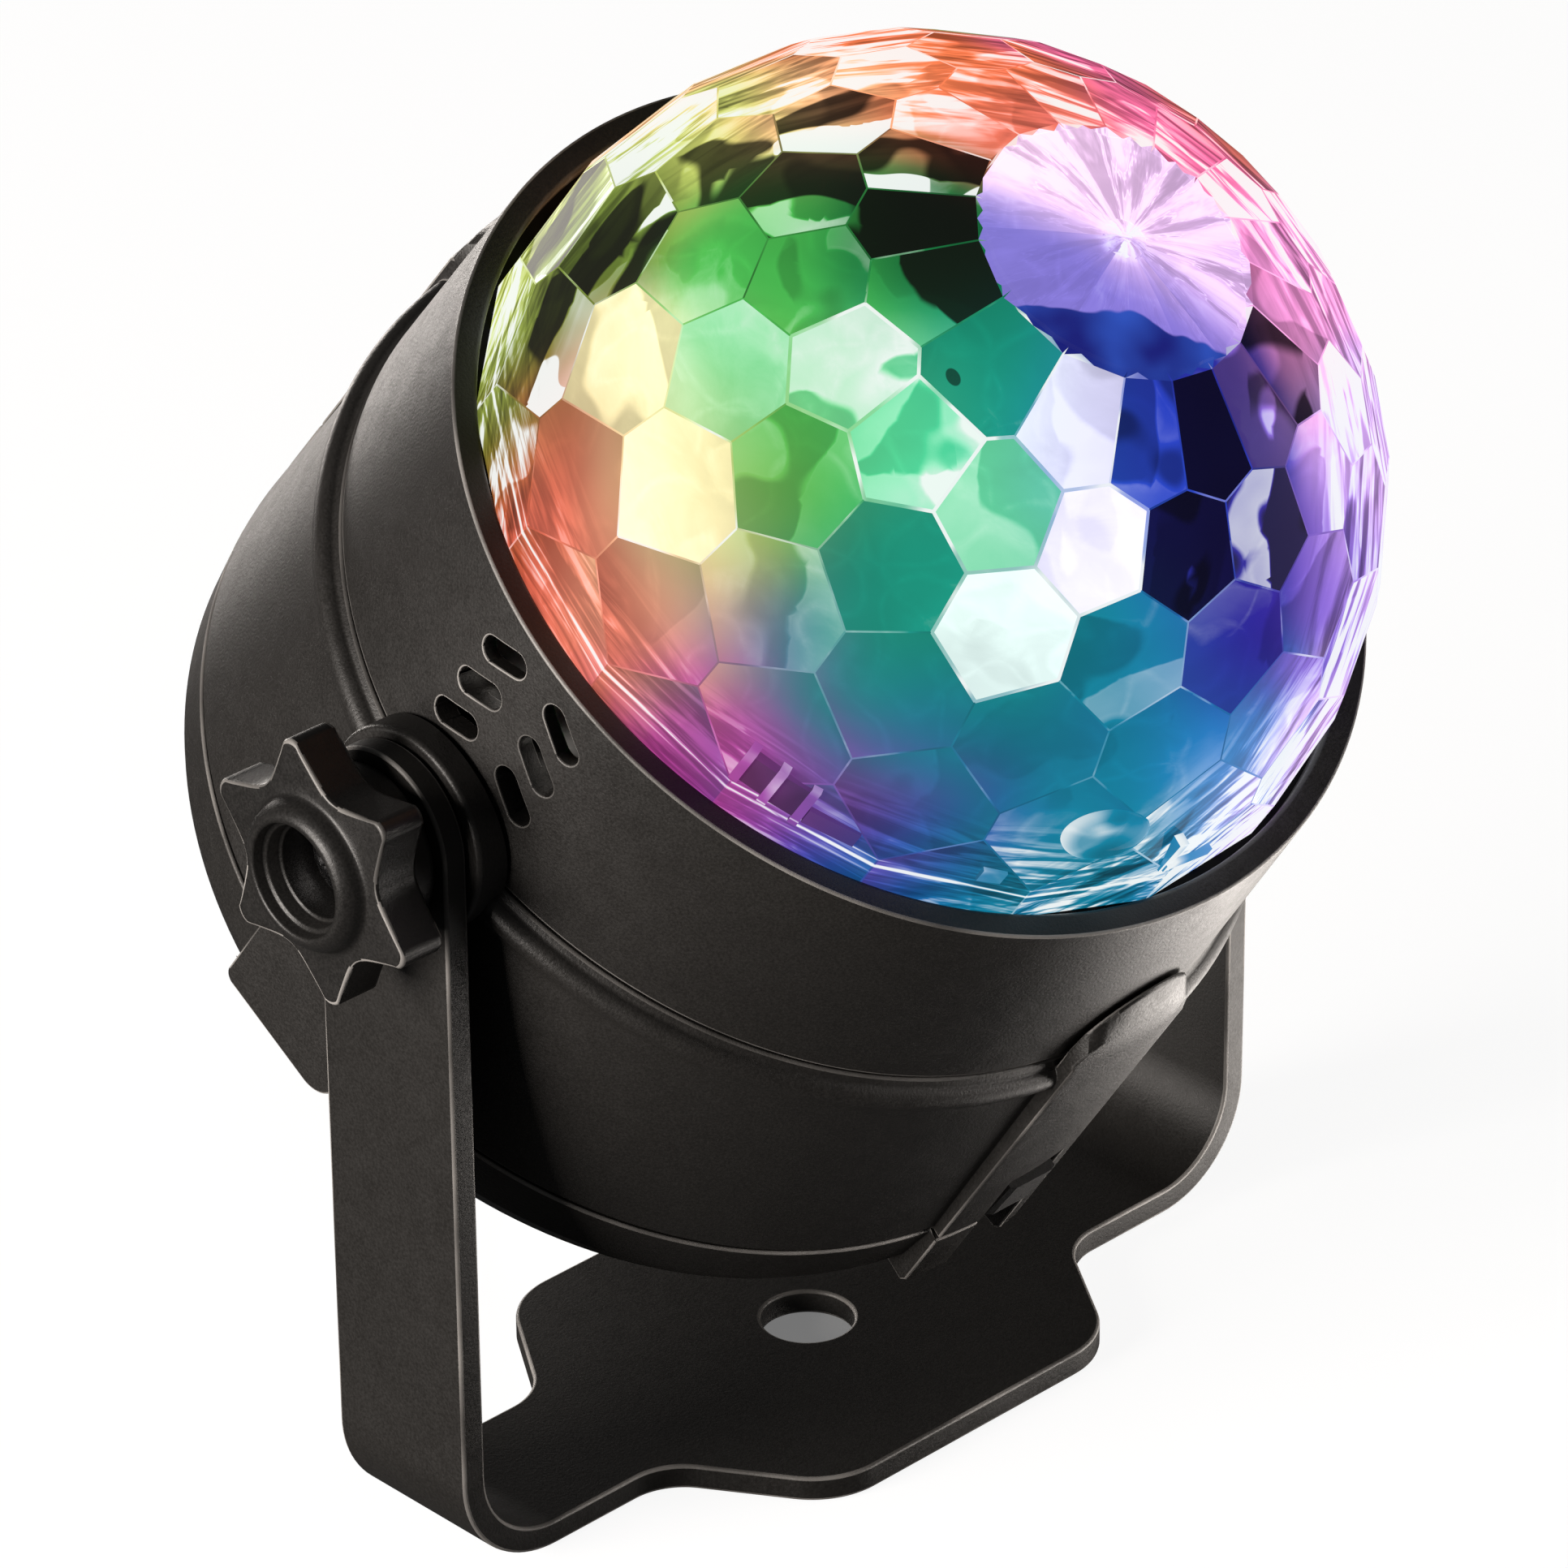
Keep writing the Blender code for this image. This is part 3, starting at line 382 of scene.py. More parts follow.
class Graph:
    """Short words for building a node tree round one Principled shader."""

    def __init__(self, name):
        self.material = bpy.data.materials.new(name)
        self.material.use_nodes = True
        self.tree = self.material.node_tree
        self.shader = self.tree.nodes["Principled BSDF"]
        self.coord = self.add("ShaderNodeTexCoord")
        self.place = self.coord.outputs["Object"]

    def add(self, kind, **props):
        n = self.tree.nodes.new(kind)
        for k, v in props.items():
            setattr(n, k, v)
        return n

    def put(self, socket, value):
        if hasattr(value, "is_linked"):
            self.tree.links.new(value, socket)
        elif value is not None:
            socket.default_value = value

    def math(self, op, a, b=None, c=None, clamp=False):
        n = self.add("ShaderNodeMath", operation=op, use_clamp=clamp)
        for s, v in zip(n.inputs, (a, b, c)):
            self.put(s, v)
        return n.outputs[0]

    def vec(self, op, a, b=None, scale=None):
        n = self.add("ShaderNodeVectorMath", operation=op)
        self.put(n.inputs[0], a)
        self.put(n.inputs[1], b)
        if scale is not None:
            self.put(n.inputs["Scale"], scale)
        return n.outputs["Value" if op in ("DOT_PRODUCT", "LENGTH", "DISTANCE") else "Vector"]

    def mix(self, factor, a, b, blend="MIX"):
        n = self.add("ShaderNodeMix", data_type="RGBA", blend_type=blend)
        self.put(n.inputs[0], factor)
        self.put(n.inputs[6], a)
        self.put(n.inputs[7], b)
        return n.outputs[2]

    def ramp(self, value, lo, hi, to_lo=0.0, to_hi=1.0, smooth=False):
        n = self.add("ShaderNodeMapRange", interpolation_type="SMOOTHSTEP" if smooth else "LINEAR")
        self.put(n.inputs["Value"], value)
        for s, v in (("From Min", lo), ("From Max", hi), ("To Min", to_lo), ("To Max", to_hi)):
            self.put(n.inputs[s], v)
        return n.outputs["Result"]

    def noise(self, scale, detail=2.0, rough=0.5, at=None, distortion=0.0, out="Fac"):
        n = self.add("ShaderNodeTexNoise")
        self.put(n.inputs["Vector"], at or self.place)
        n.inputs["Scale"].default_value = scale
        n.inputs["Detail"].default_value = detail
        n.inputs["Roughness"].default_value = rough
        n.inputs["Distortion"].default_value = distortion
        return n.outputs[out]

    def attribute(self, name, out="Vector"):
        return self.add("ShaderNodeAttribute", attribute_name=name).outputs[out]

    def set(self, **values):
        for k, v in values.items():
            self.put(self.shader.inputs[k.replace("_", " ")], v)


def moulded(name, dark, light, rough, grain=0.5, scale=3900.0, level=0.5, edge_highlight_strength=0.8):
    """Satin black surface: fine grain, slightly uneven gloss and tone, and a light highlight line painted along the
    rounded edges.
    """
    g = Graph(name)
    fine = g.noise(scale, 3.0, 0.6)
    mid = g.noise(420.0, 3.0, 0.55)
    wide = g.noise(38.0, 2.0, 0.5)
    tone = g.math("ADD", g.math("MULTIPLY", wide, 0.35), g.math("MULTIPLY", fine, 0.65))
    colour = g.mix(g.ramp(tone, 0.38, 0.62), (*dark, 1), (*light, 1))
    # painted highlight: the marked round-overs are lightened in the base colour, patchy along their length
    painted_edge_highlight = g.math("MULTIPLY", g.attribute("edge", "Fac"), g.ramp(g.noise(70.0, 2.0, 0.5), 0.38, 0.62, 0.25, 1.0))
    colour = g.mix(g.math("MULTIPLY", painted_edge_highlight, edge_highlight_strength), colour, (0.34, 0.325, 0.31, 1))
    g.put(g.shader.inputs["Base Color"], colour)
    even = g.math("ADD", g.math("MULTIPLY", mid, 0.35), g.math("MULTIPLY", fine, 0.65))
    g.put(g.shader.inputs["Roughness"], g.ramp(even, 0.34, 0.66, rough - 0.09, rough + 0.11))
    g.shader.inputs["Specular IOR Level"].default_value = level
    bump = g.add("ShaderNodeBump")
    bump.inputs["Strength"].default_value = grain
    bump.inputs["Distance"].default_value = 0.00005
    g.put(bump.inputs["Height"], fine)
    g.put(g.shader.inputs["Normal"], bump.outputs["Normal"])
    return g.material


def metal(name, dark, light, rough):
    """Plated or blackened steel: fine turned streaks and small dull spots."""
    g = Graph(name)
    fine = g.noise(3200.0, 4.0, 0.65)
    spots = g.noise(700.0, 2.0, 0.5)
    g.put(g.shader.inputs["Base Color"], g.mix(g.ramp(spots, 0.35, 0.7), (*dark, 1), (*light, 1)))
    g.put(g.shader.inputs["Roughness"], g.ramp(fine, 0.3, 0.7, rough - 0.07, rough + 0.1))
    g.shader.inputs["Metallic"].default_value = 1.0
    bump = g.add("ShaderNodeBump")
    bump.inputs["Strength"].default_value = 0.25
    bump.inputs["Distance"].default_value = 0.00002
    g.put(bump.inputs["Height"], fine)
    g.put(g.shader.inputs["Normal"], bump.outputs["Normal"])
    return g.material


def plain(name, dark, light, rough, scale=900.0, metallic=0.0, glow=0.0, clear=0.0):
    """Small inner part: two close tones in a fine pattern, uneven gloss."""
    g = Graph(name)
    fine = g.noise(scale, 3.0, 0.6)
    colour = g.mix(g.ramp(fine, 0.35, 0.65), (*dark, 1), (*light, 1))
    g.put(g.shader.inputs["Base Color"], colour)
    g.put(g.shader.inputs["Roughness"], g.ramp(fine, 0.3, 0.7, max(0.02, rough - 0.05), rough + 0.08))
    g.shader.inputs["Metallic"].default_value = metallic
    g.shader.inputs["Transmission Weight"].default_value = clear
    if glow:
        g.put(g.shader.inputs["Emission Color"], colour)
        g.shader.inputs["Emission Strength"].default_value = glow
    return g.material


BLACK = moulded("black_plastic", (0.013, 0.012, 0.011), (0.021, 0.0195, 0.0182), 0.42, grain=0.7)
PAINT = moulded("bracket_paint", (0.012, 0.011, 0.010), (0.018, 0.0168, 0.0156), 0.44, grain=0.55, scale=3400.0, level=0.36)
KNOB_BLACK = moulded("knob_plastic", (0.010, 0.0095, 0.009), (0.017, 0.016, 0.0152), 0.38, grain=0.4, level=0.36, edge_highlight_strength=1.0)
RUBBER = moulded("gland_rubber", (0.010, 0.010, 0.010), (0.017, 0.017, 0.017), 0.6, grain=0.6)
DARK_STEEL = metal("dark_steel", (0.16, 0.16, 0.165), (0.30, 0.30, 0.305), 0.24)
STEEL = metal("steel", (0.45, 0.45, 0.46), (0.62, 0.62, 0.63), 0.30)
WHITE_BOARD = plain("board_white", (0.72, 0.72, 0.70), (0.80, 0.80, 0.78), 0.38)
GREEN_BOARD = plain("board_green", (0.03, 0.13, 0.055), (0.05, 0.18, 0.08), 0.45)
GREY_NYLON = plain("gear_nylon", (0.68, 0.68, 0.65), (0.76, 0.76, 0.73), 0.45)
COVER_BLACK = plain("cover_plastic", (0.010, 0.010, 0.010), (0.016, 0.016, 0.016), 0.16)
IR_BLACK = plain("ir_plastic", (0.014, 0.010, 0.014), (0.022, 0.016, 0.022), 0.10)
LED_LENS = {
    "led_red": plain("led_red_lens", (0.85, 0.02, 0.02), (0.95, 0.06, 0.04), 0.12, glow=2.0),
    "led_green": plain("led_green_lens", (0.02, 0.72, 0.06), (0.05, 0.85, 0.12), 0.12, glow=2.0),
    "led_blue": plain("led_blue_lens", (0.03, 0.06, 0.88), (0.06, 0.10, 0.98), 0.12, glow=2.0),
}

# ---------------------------------------------------------------- bracket: a flat blank, cut, softened and then bent
half = STRAP_W / 2
BEND_AT = ARM_OUT - BEND_R                    # where each bend starts, from the middle
BEND_MID = BEND_R - STRAP_T / 2
BEND_LONG = BEND_MID * math.pi / 2
ARM_AXIS = BEND_AT + BEND_LONG + PIVOT_Z + ARM_END - BEND_R   # the round end's centre, along the blank
HOLE_AT = ARM_AXIS - ARM_END


def blank_outline():
    cx, cy = LOBE_X, LOBE_Y - LOBE_R
    wx, wy = WAIST_X, half + WAIST_R
    away = math.degrees(math.atan2(wy - cy, wx - cx))
    lean = math.degrees(math.acos((LOBE_R + WAIST_R) / math.hypot(wx - cx, wy - cy)))
    quarter = arc(cx, cy, LOBE_R, 90, away + lean, 18)
    quarter += arc(wx, wy, WAIST_R, 180 + away + lean, 270, 16)
    end = arc(ARM_AXIS, 0, half, 90, -90, 40)
    right_side = quarter + end + [(x, -y) for x, y in quarter[::-1]]
    return right_side + [(-x, -y) for x, y in right_side]


bm = bmesh.new()
prism(bm, blank_outline(), 0, STRAP_T)
bracket = body("bracket_strap", bm)
bm = bmesh.new()
rod(bm, BASE_HOLE_R, -3, 6, 72)
for x in (-HOLE_AT, HOLE_AT):
    verts = rod(bm, ARM_HOLE_R, -3, 6, 48)
    move(bm, verts, Matrix.Translation((x, 0, 0)))
shape(bracket, bm)
soften(bracket, 0.3, 40, 3)
bm = bmesh.new()
bm.from_mesh(bracket.data)
steps = 22
for side in (-1, 1):
    for k in range(steps + 1):
        x = side * (BEND_AT + BEND_LONG * k / steps) * MM
        bmesh.ops.bisect_plane(bm, geom=bm.verts[:] + bm.edges[:] + bm.faces[:], dist=1e-7,
                               plane_co=(x, 0, 0), plane_no=(1, 0, 0))
for v in bm.verts:
    x, y, z = v.co / MM
    side = 1 if x > 0 else -1
    s = abs(x) - BEND_AT
    if s > BEND_LONG:
        px, pz = ARM_OUT - z, BEND_R + s - BEND_LONG
    elif s > 0:
        w = s / BEND_MID
        px, pz = BEND_AT + (BEND_R - z) * math.sin(w), BEND_R - (BEND_R - z) * math.cos(w)
    else:
        px, pz = abs(x), z
    v.co = Vector((side * px, y + PIVOT_Y, pz)) * MM
bmesh.ops.recalc_face_normals(bm, faces=bm.faces)
bm.to_mesh(bracket.data)
bm.free()
smooth(bracket, 30)
place(bracket, "bracket", "bracket_paint", PAINT, "bracket")

# ---------------------------------------------------------------- front housing
bm = bmesh.new()
lathe(bm, rounded([
    (LIP_R, RIM_Z), (RIM_R, RIM_Z), (FRONT_LOW_R, FRONT_LOW_Z), (42.65, FRONT_LOW_Z), (42.65, -3.2), (41.2, -3.2),
    (41.2, 3.0), (FRONT_IN_R, SHELF_TOP - SHELF_T), (SHELF_IN_R, SHELF_TOP - SHELF_T), (SHELF_IN_R, SHELF_TOP),
    (FRONT_IN_R, SHELF_TOP), (FRONT_IN_R, RIM_Z - LIP_T), (LIP_R, RIM_Z - LIP_T),
], [0.5, 0.26, 0.35, 0.1, 0.1, 0.2, 0, 0.1, 0.1, 0.1, 0.1, 0.1, 0.3]))
move(bm, bm.verts[:], turned(1.43))           # so that no line of the wall meets the end of a vent
front = body("front_shell", bm, HEAD)
bm = bmesh.new()
for base in (0, 180):
    for lean in (-1, 1):
        for z in VENT_Z:
            r = VENT_HIGH / 2
            reach = VENT_LONG / 2 - r
            outline = arc(reach, 0, r, -90, 90, 14) + arc(-reach, 0, r, 90, 270, 14)
            verts = prism(bm, outline, 38, 48)
            move(bm, verts, turned(base + lean * VENT_TURN + VENT_AT) @ Matrix.Translation((0, 0, z))
                 @ OUTWARD @ turned(-lean * VENT_SLANT))
shape(front, bm, HEAD)
bm = bmesh.new()
for az in (30, 150, 270):
    verts = rod(bm, 1.5, 11, 15, 24)
    move(bm, verts, turned(az) @ Matrix.Translation((37.4, 0, 0)))
for az in (112, -68):
    verts = rod(bm, 1.5, 11, 15, 24)
    move(bm, verts, turned(az) @ Matrix.Translation((36.8, 0, 0)))
shape(front, bm, HEAD)
bm = bmesh.new()
verts = rod(bm, ARM_HOLE_R, -60, 60)
move(bm, verts, Matrix.Rotation(math.radians(90), 4, "Y"))
shape(front, bm, HEAD)
soften(front, 0.16, 50, 2)
smooth(front)
even_wall(front, HEAD, (FRONT_LOW_R, FRONT_LOW_Z), (RIM_R, RIM_Z))
place(front, "head", "black_plastic", BLACK, "front_housing")

# ---------------------------------------------------------------- rear housing
bm = bmesh.new()
ridge = [(43.05, 1.45), (44.1, 1.45)] + arc(44.25, -0.75, 1.5, 80, -52, 14) + [
    (REAR_TOP_R, -2.9), (45.6, -14.5), (REAR_LOW_R, SEAM_Z + 0.45), (REAR_LOW_R - 0.25, SEAM_Z + 0.2),
    (44.0, SEAM_Z + 0.2), (43.05, -8.0),
]
lathe(bm, ridge)
rear = body("rear_shell", bm, HEAD)
pad_turns = (90 + TURN, 270 + TURN)
side_turns = (TURN, 180 + TURN)
span = math.degrees(PAD_HALF / PAD_LOW_R)


def pad_profile(t):
    tip = PAD_CREST_Z + 0.5 + PAD_RAMP * math.sqrt(max(0.0, 1 - t * t))
    under = 44.55 - 0.0489 * (tip - 1.9)
    halfway = PAD_CREST_Z + 0.6 * (tip - PAD_CREST_Z)
    return [(44.6, 1.2), (under, tip), (under + 0.4, tip - 0.15), (PAD_CREST_R - 0.35, halfway),
            (PAD_CREST_R, PAD_CREST_Z), (PAD_LOW_R, SEAM_Z + 0.2), (44.6, SEAM_Z + 0.2)]


def side_pad(bm, grow, z1, x0, x1):
    a, c, low = -PAD_HALF - grow, PAD_HALF + grow, SIDE_PAD_Z[0] - grow
    outline = arc(c - 3, low + 3, 3, -90, 0, 12)[::-1] + arc(a + 1.2, low + 1.2, 1.2, 180, 270, 8)[::-1] + [(a, z1), (c, z1)]
    verts = prism(bm, outline, x0, x1)
    move(bm, verts, OUTWARD)
    return verts


bm = bmesh.new()
for az in pad_turns:
    verts = sector(bm, pad_profile, -span, span, 20)
    move(bm, verts, turned(az))
for az in side_turns:
    verts = side_pad(bm, 0, SIDE_PAD_Z[1], 44.6, SIDE_PAD_X)
    move(bm, verts, turned(az))
shape(rear, bm, HEAD, "UNION")
bm = bmesh.new()
for az in POST_AZ:
    verts = prism(bm, arc(0, 0, 3.3, 90, 270, 16) + [(4.4, -3.3), (4.4, 3.3)], -23.0, -12.0)
    move(bm, verts, turned(az) @ Matrix.Translation((POST_R, 0, 0)))
shape(rear, bm, HEAD, "UNION")
bm = bmesh.new()
for az in POST_AZ:
    verts = rod(bm, 1.35, -24, -14, 24)
    move(bm, verts, turned(az) @ Matrix.Translation((POST_R, 0, 0)))
verts = rod(bm, ARM_HOLE_R, -60, 60)
move(bm, verts, Matrix.Rotation(math.radians(90), 4, "Y"))
shape(rear, bm, HEAD)


def notch():
    bm = bmesh.new()
    verts = block(bm, NOTCH_FLOOR, 50, NOTCH_X0, NOTCH_X1, -40, NOTCH_TOP)
    move(bm, verts, turned(-90))
    return bm


def gland_hole():
    bm = bmesh.new()
    verts = rod(bm, 2.0, 40, 46, 32)
    move(bm, verts, Matrix.Translation((3.1, 0, -23.4)) @ Matrix.Rotation(math.radians(90), 4, "X"))
    return bm


shape(rear, notch(), HEAD)
shape(rear, gland_hole(), HEAD)
soften(rear, 0.2, 42, 2)
smooth(rear)
place(rear, "head", "black_plastic", BLACK, "rear_housing")

# ---------------------------------------------------------------- rear cover
bm = bmesh.new()
lathe(bm, rounded([
    (0, BACK_Z + 0.6), (26.2, BACK_Z + 0.6), (27.0, BACK_Z), (43.2, BACK_Z), (45.1, -33.7),
    (45.8, -32.0), (REAR_LOW_R, SEAM_Z - 0.2),
    (43.6, SEAM_Z - 0.2), (43.6, -24.2), (42.2, -24.2), (42.2, BACK_Z + 2.4), (0, BACK_Z + 2.6),
], [0, 0.3, 0.3, 1.2, 0.9, 0.9, 0.25, 0, 0.2, 0.2, 0.5, 0], closed=False), closed=False)
cover = body("rear_cap", bm, HEAD)
bm = bmesh.new()
for az in pad_turns:
    verts = sector(bm, [(44.6, SEAM_Z - 0.2), (PAD_LOW_R, SEAM_Z - 0.2), (PAD_LOW_R + 0.3, -33.6), (PAD_LOW_R - 0.1, -34.3), (44.6, -34.4)],
                   -span, span, 14)
    move(bm, verts, turned(az))
shape(cover, bm, HEAD, "UNION")
for az in side_turns:
    bm = bmesh.new()
    verts = side_pad(bm, 0.3, SEAM_Z + 1.013, 44.237, 50.1)
    move(bm, verts, turned(az))
    shape(cover, bm, HEAD)
bm = bmesh.new()
for az in POST_AZ:
    verts = rod(bm, 3.3, BACK_Z + 1.2, -24.4, 32)
    move(bm, verts, turned(az) @ Matrix.Translation((POST_R, 0, 0)))
for x in (-22, 22):
    for y in (-12, 12):
        verts = rod(bm, 2.0, BACK_Z + 1.2, -29.9, 24)
        move(bm, verts, Matrix.Translation((x, y, 0)))
shape(cover, bm, HEAD, "UNION")
bm = bmesh.new()
for az in POST_AZ:
    verts = lathe(bm, [(0, -36), (3.0, -36), (3.0, -32.5), (1.35, -32.5), (1.35, -20), (0, -20)], 32, closed=False)
    move(bm, verts, turned(az) @ Matrix.Translation((POST_R, 0, 0)))
shape(cover, bm, HEAD)
shape(cover, notch(), HEAD)
bm = bmesh.new()
block(bm, 0.8, 5.4, -44.2, -40, -25.6, -23)
shape(cover, bm, HEAD)
weld(cover, 0.002)
soften(cover, 0.2, 42, 2)
smooth(cover)
place(cover, "head", "black_plastic", BLACK, "rear_cover")

# ---------------------------------------------------------------- screws


def cross_outline(reach, w):
    out = []
    for k in range(4):
        c, s = (1, 0, -1, 0)[k], (0, 1, 0, -1)[k]
        out += [(c * x - s * y, s * x + c * y) for x, y in ((reach, -w), (reach, w), (w, w))]
    return out


def pan_screw(name, head_r, head_h, shank_r, length, matrix, reach, w, depth):
    """Pan-head screw with a cross recess and a turned thread, head upwards."""
    bm = bmesh.new()
    profile = [(0, head_h), (head_r * 0.45, head_h * 0.975), (head_r * 0.68, head_h * 0.9), (head_r * 0.86, head_h * 0.7),
               (head_r * 0.97, head_h * 0.4), (head_r, head_h * 0.18), (head_r * 0.98, 0.0), (shank_r, 0)]
    z, pitch = -0.5, max(0.7, shank_r * 0.7)
    while z - pitch > -length + shank_r * 1.2:
        profile += [(shank_r, z), (shank_r * 0.84, z - pitch / 2)]
        z -= pitch
    profile += [(shank_r, z), (shank_r * 0.95, -length + shank_r * 0.6), (shank_r * 0.4, -length), (0, -length)]
    lathe(bm, profile, 40, closed=False)
    ob = body(name, bm, matrix)
    bm = bmesh.new()
    low, high = cross_outline(reach * 0.62, w * 0.7), cross_outline(reach, w)
    a = [bm.verts.new((x, y, head_h - depth)) for x, y in low]
    b = [bm.verts.new((x, y, head_h + 0.5)) for x, y in high]
    bm.faces.new(a[::-1])
    bm.faces.new(b)
    for k in range(len(a)):
        j = (k + 1) % len(a)
        bm.faces.new((a[k], a[j], b[j], b[k]))
    shape(ob, bm, matrix)
    soften(ob, 0.07, 40, 2)
    return smooth(ob)


for k, az in enumerate(POST_AZ):
    m = HEAD @ Matrix.Scale(1, 4) @ turned(az) @ Matrix.Translation((POST_R * MM, 0, -32.8 * MM)) @ Matrix.Rotation(math.pi, 4, "X")
    screw = pan_screw(f"case_screw_{k + 1}", 2.6, 1.5, 1.0, 17, m, 1.5, 0.3, 0.9)
    place(screw, "head", "dark_steel", DARK_STEEL, f"rear_screw_{k + 1}")

# ---------------------------------------------------------------- pivot bosses
for side, sign in (("left", -1), ("right", 1)):
    out = HEAD @ Matrix.Rotation(math.radians(sign * 90), 4, "Y")
    bm = bmesh.new()
    lathe(bm, rounded([(ARM_HOLE_R, 40.5), (9.35, 40.5), (9.35, 47.0), (ARM_HOLE_R, 47.0)], [0.2, 0, 0.5, 0.3]), 96)
    boss = body("boss_" + side, bm, out)
    bm = bmesh.new()
    lathe(bm, [(0, 14), (44.35, 14), (44.55, 1.9), (45.5, 1.7), (46.05, 0.6), (46.05, -1.6), (45.5, -2.8), (45.3, -3.3),
               (45.85, -14), (0, -14)], closed=False)
    shape(boss, bm, HEAD)
    smooth(boss)
    place(boss, "head", "black_plastic", BLACK, "pivot_boss_" + side)

# ---------------------------------------------------------------- knobs


def star_radius(degrees):
    """Seen from the tip: sharp tips with a small nose, one hollow arc between each two."""
    step = 360 / TIPS
    t = ((degrees - KNOB_PHASE) % step) / step
    nose = 4.2 / step
    if t < nose or t > 1 - nose:
        u = min(t, 1 - t) / nose
        return TIP_R - 0.25 * u * u
    u = (t - nose) / (1 - 2 * nose)
    return (TIP_R - 0.25) - (TIP_R - 0.25 - VALLEY_R) * math.sin(math.pi * u) ** 0.8


def knob(side, sign):
    n = 240
    bm = bmesh.new()

    def ring(fn):
        row = []
        for k in range(n):
            a = 360 * k / n
            r, z = fn(star_radius(a))
            x, y = r * math.cos(math.radians(a)), r * math.sin(math.radians(a))
            # the left knob's star is measured from +Y towards +Z, seen from outside
            row.append(bm.verts.new((y, x, z) if sign < 0 else (-y, x, z)))
        return row

    rows = []
    # underside, from the bore outwards
    for r, z in ((2.3, KNOB_GAP), (6.9, KNOB_GAP), (7.05, KNOB_GAP + 0.03), (7.3, KNOB_GAP + 0.15), (7.45, KNOB_GAP + 0.4),
                 (7.5, KNOB_GAP + 0.8), (7.5, KNOB_BACK - 0.3), (7.6, KNOB_BACK)):
        rows.append(ring(lambda s, r=r, z=z: (r, z)))
    # back of the star, its wall and the round-over on to the face
    for f, dz in ((-0.55, 0.0), (-0.25, 0.06), (-0.06, 0.25), (0.0, 0.5)):
        rows.append(ring(lambda s, f=f, dz=dz: (s + f, KNOB_BACK + dz)))
    for f, dz in ((0.0, -0.36), (-0.03, -0.2), (-0.11, -0.08), (-0.22, -0.02), (-0.36, 0.0)):
        rows.append(ring(lambda s, f=f, dz=dz: (s + f, KNOB_FACE + dz)))
    # the face runs slightly uphill to the hub
    for t in (0.25, 0.5, 0.75):
        rows.append(ring(lambda s, t=t: ((s - 0.5) + (7.25 - (s - 0.5)) * t, KNOB_FACE + 0.05 * t)))
    for r, z in ((7.25, KNOB_FACE + 0.08), (7.05, KNOB_FACE + 0.22), (6.9, KNOB_FACE + 0.5), (6.75, KNOB_FACE + 0.9),
                 (6.5, KNOB_FACE + 1.3), (6.15, KNOB_FACE + 1.62), (5.8, KNOB_LIP - 0.05), (5.5, KNOB_LIP), (5.25, KNOB_LIP - 0.04),
                 (5.12, KNOB_LIP - 0.2), (5.1, KNOB_LIP - 0.95), (5.0, KNOB_LIP - 1.08), (4.72, KNOB_LIP - 1.12), (4.6, KNOB_LIP - 1.25),
                 (4.58, KNOB_LIP - 2.3), (4.48, KNOB_LIP - 2.42), (4.3, KNOB_LIP - 2.46), (4.2, KNOB_LIP - 2.6), (4.2, 2.6), (4.12, 2.4), (2.45, 2.4), (2.3, 2.25), (2.3, KNOB_GAP + 0.15)):
        rows.append(ring(lambda s, r=r, z=z: (r, z)))
    for a, b in zip(rows, rows[1:] + rows[:1]):
        for k in range(n):
            j = (k + 1) % n
            bm.faces.new((a[k], a[j], b[j], b[k]))
    ob = body("star_knob_" + side, bm, KNOB[side])
    return smooth(ob, 50)


for side, sign in (("left", -1), ("right", 1)):
    place(knob(side, sign), "knob_" + side, "knob_plastic", KNOB_BLACK, "knob_" + side)
    m = KNOB[side] @ Matrix.Translation((0, 0, 2.7 * MM)) @ turned(18 if sign < 0 else 40)
    screw = pan_screw("clamp_screw_" + side, 4.0, 2.5, 2.0, ARM_OUT - 36.3 + 2.7, m, 2.3, 0.42, 1.5)
    place(screw, "knob_" + side, "dark_steel", DARK_STEEL, "knob_screw_" + side)

# ---------------------------------------------------------------- faceted dome


def facets():
    """Rings of flat facets round the spin axis: ring, place in the ring and outward direction."""
    for k, polar in enumerate(RING_POLAR):
        for i in range(FACETS):
            az = PHASE[k % 2] + 360 / FACETS * i
            if k == 0 and i in (9, 10):
                if i == 10:
                    continue
                az += 180 / FACETS
            t, a = math.radians(polar), math.radians(az)
            yield k, i, Vector((math.sin(t) * math.cos(a), math.sin(t) * math.sin(a), math.cos(t)))


def cut(bm, co, no):
    found = bmesh.ops.bisect_plane(bm, geom=bm.verts[:] + bm.edges[:] + bm.faces[:], dist=1e-6,
                                   plane_co=co, plane_no=no, clear_outer=True)
    rim = [e for e in found["geom_cut"] if isinstance(e, bmesh.types.BMEdge)]
    if len(rim) > 2:
        bmesh.ops.contextual_create(bm, geom=rim)


CHAMFER, WIDE_CHAMFER = 0.17, 0.30
BOLD = ((1, 8), (1, 9), (1, 10), (1, 11), (2, 11))     # facets whose ground edges are wider
gem = bmesh.new()
block(gem, -42, 42, -42, 42, SKIRT_Z, APEX_Z)
listed = list(facets())
for k, i, n in listed:
    cut(gem, n * FACET_R, n)
planes = []
for e in gem.edges:
    if len(e.link_faces) == 2:
        a, b = (f.normal for f in e.link_faces)
        if min(a.z, b.z) > -0.5 and max(a.z, b.z) < 0.9999:
            bold = any(max(listed, key=lambda f: f[2].dot(w))[:2] in BOLD for w in (a, b))
            n = (a + b).normalized()
            turn = a.angle(b)
            mid = (e.verts[0].co + e.verts[1].co) / 2
            planes.append((n, n.dot(mid) - (WIDE_CHAMFER if bold else CHAMFER) * math.tan(turn / 2) / 2))
for n, d in planes:
    cut(gem, n * d, n)
gem.normal_update()
SEEN = (DOME.to_3x3().inverted() @ back).normalized()       # towards the viewer, in the dome's frame
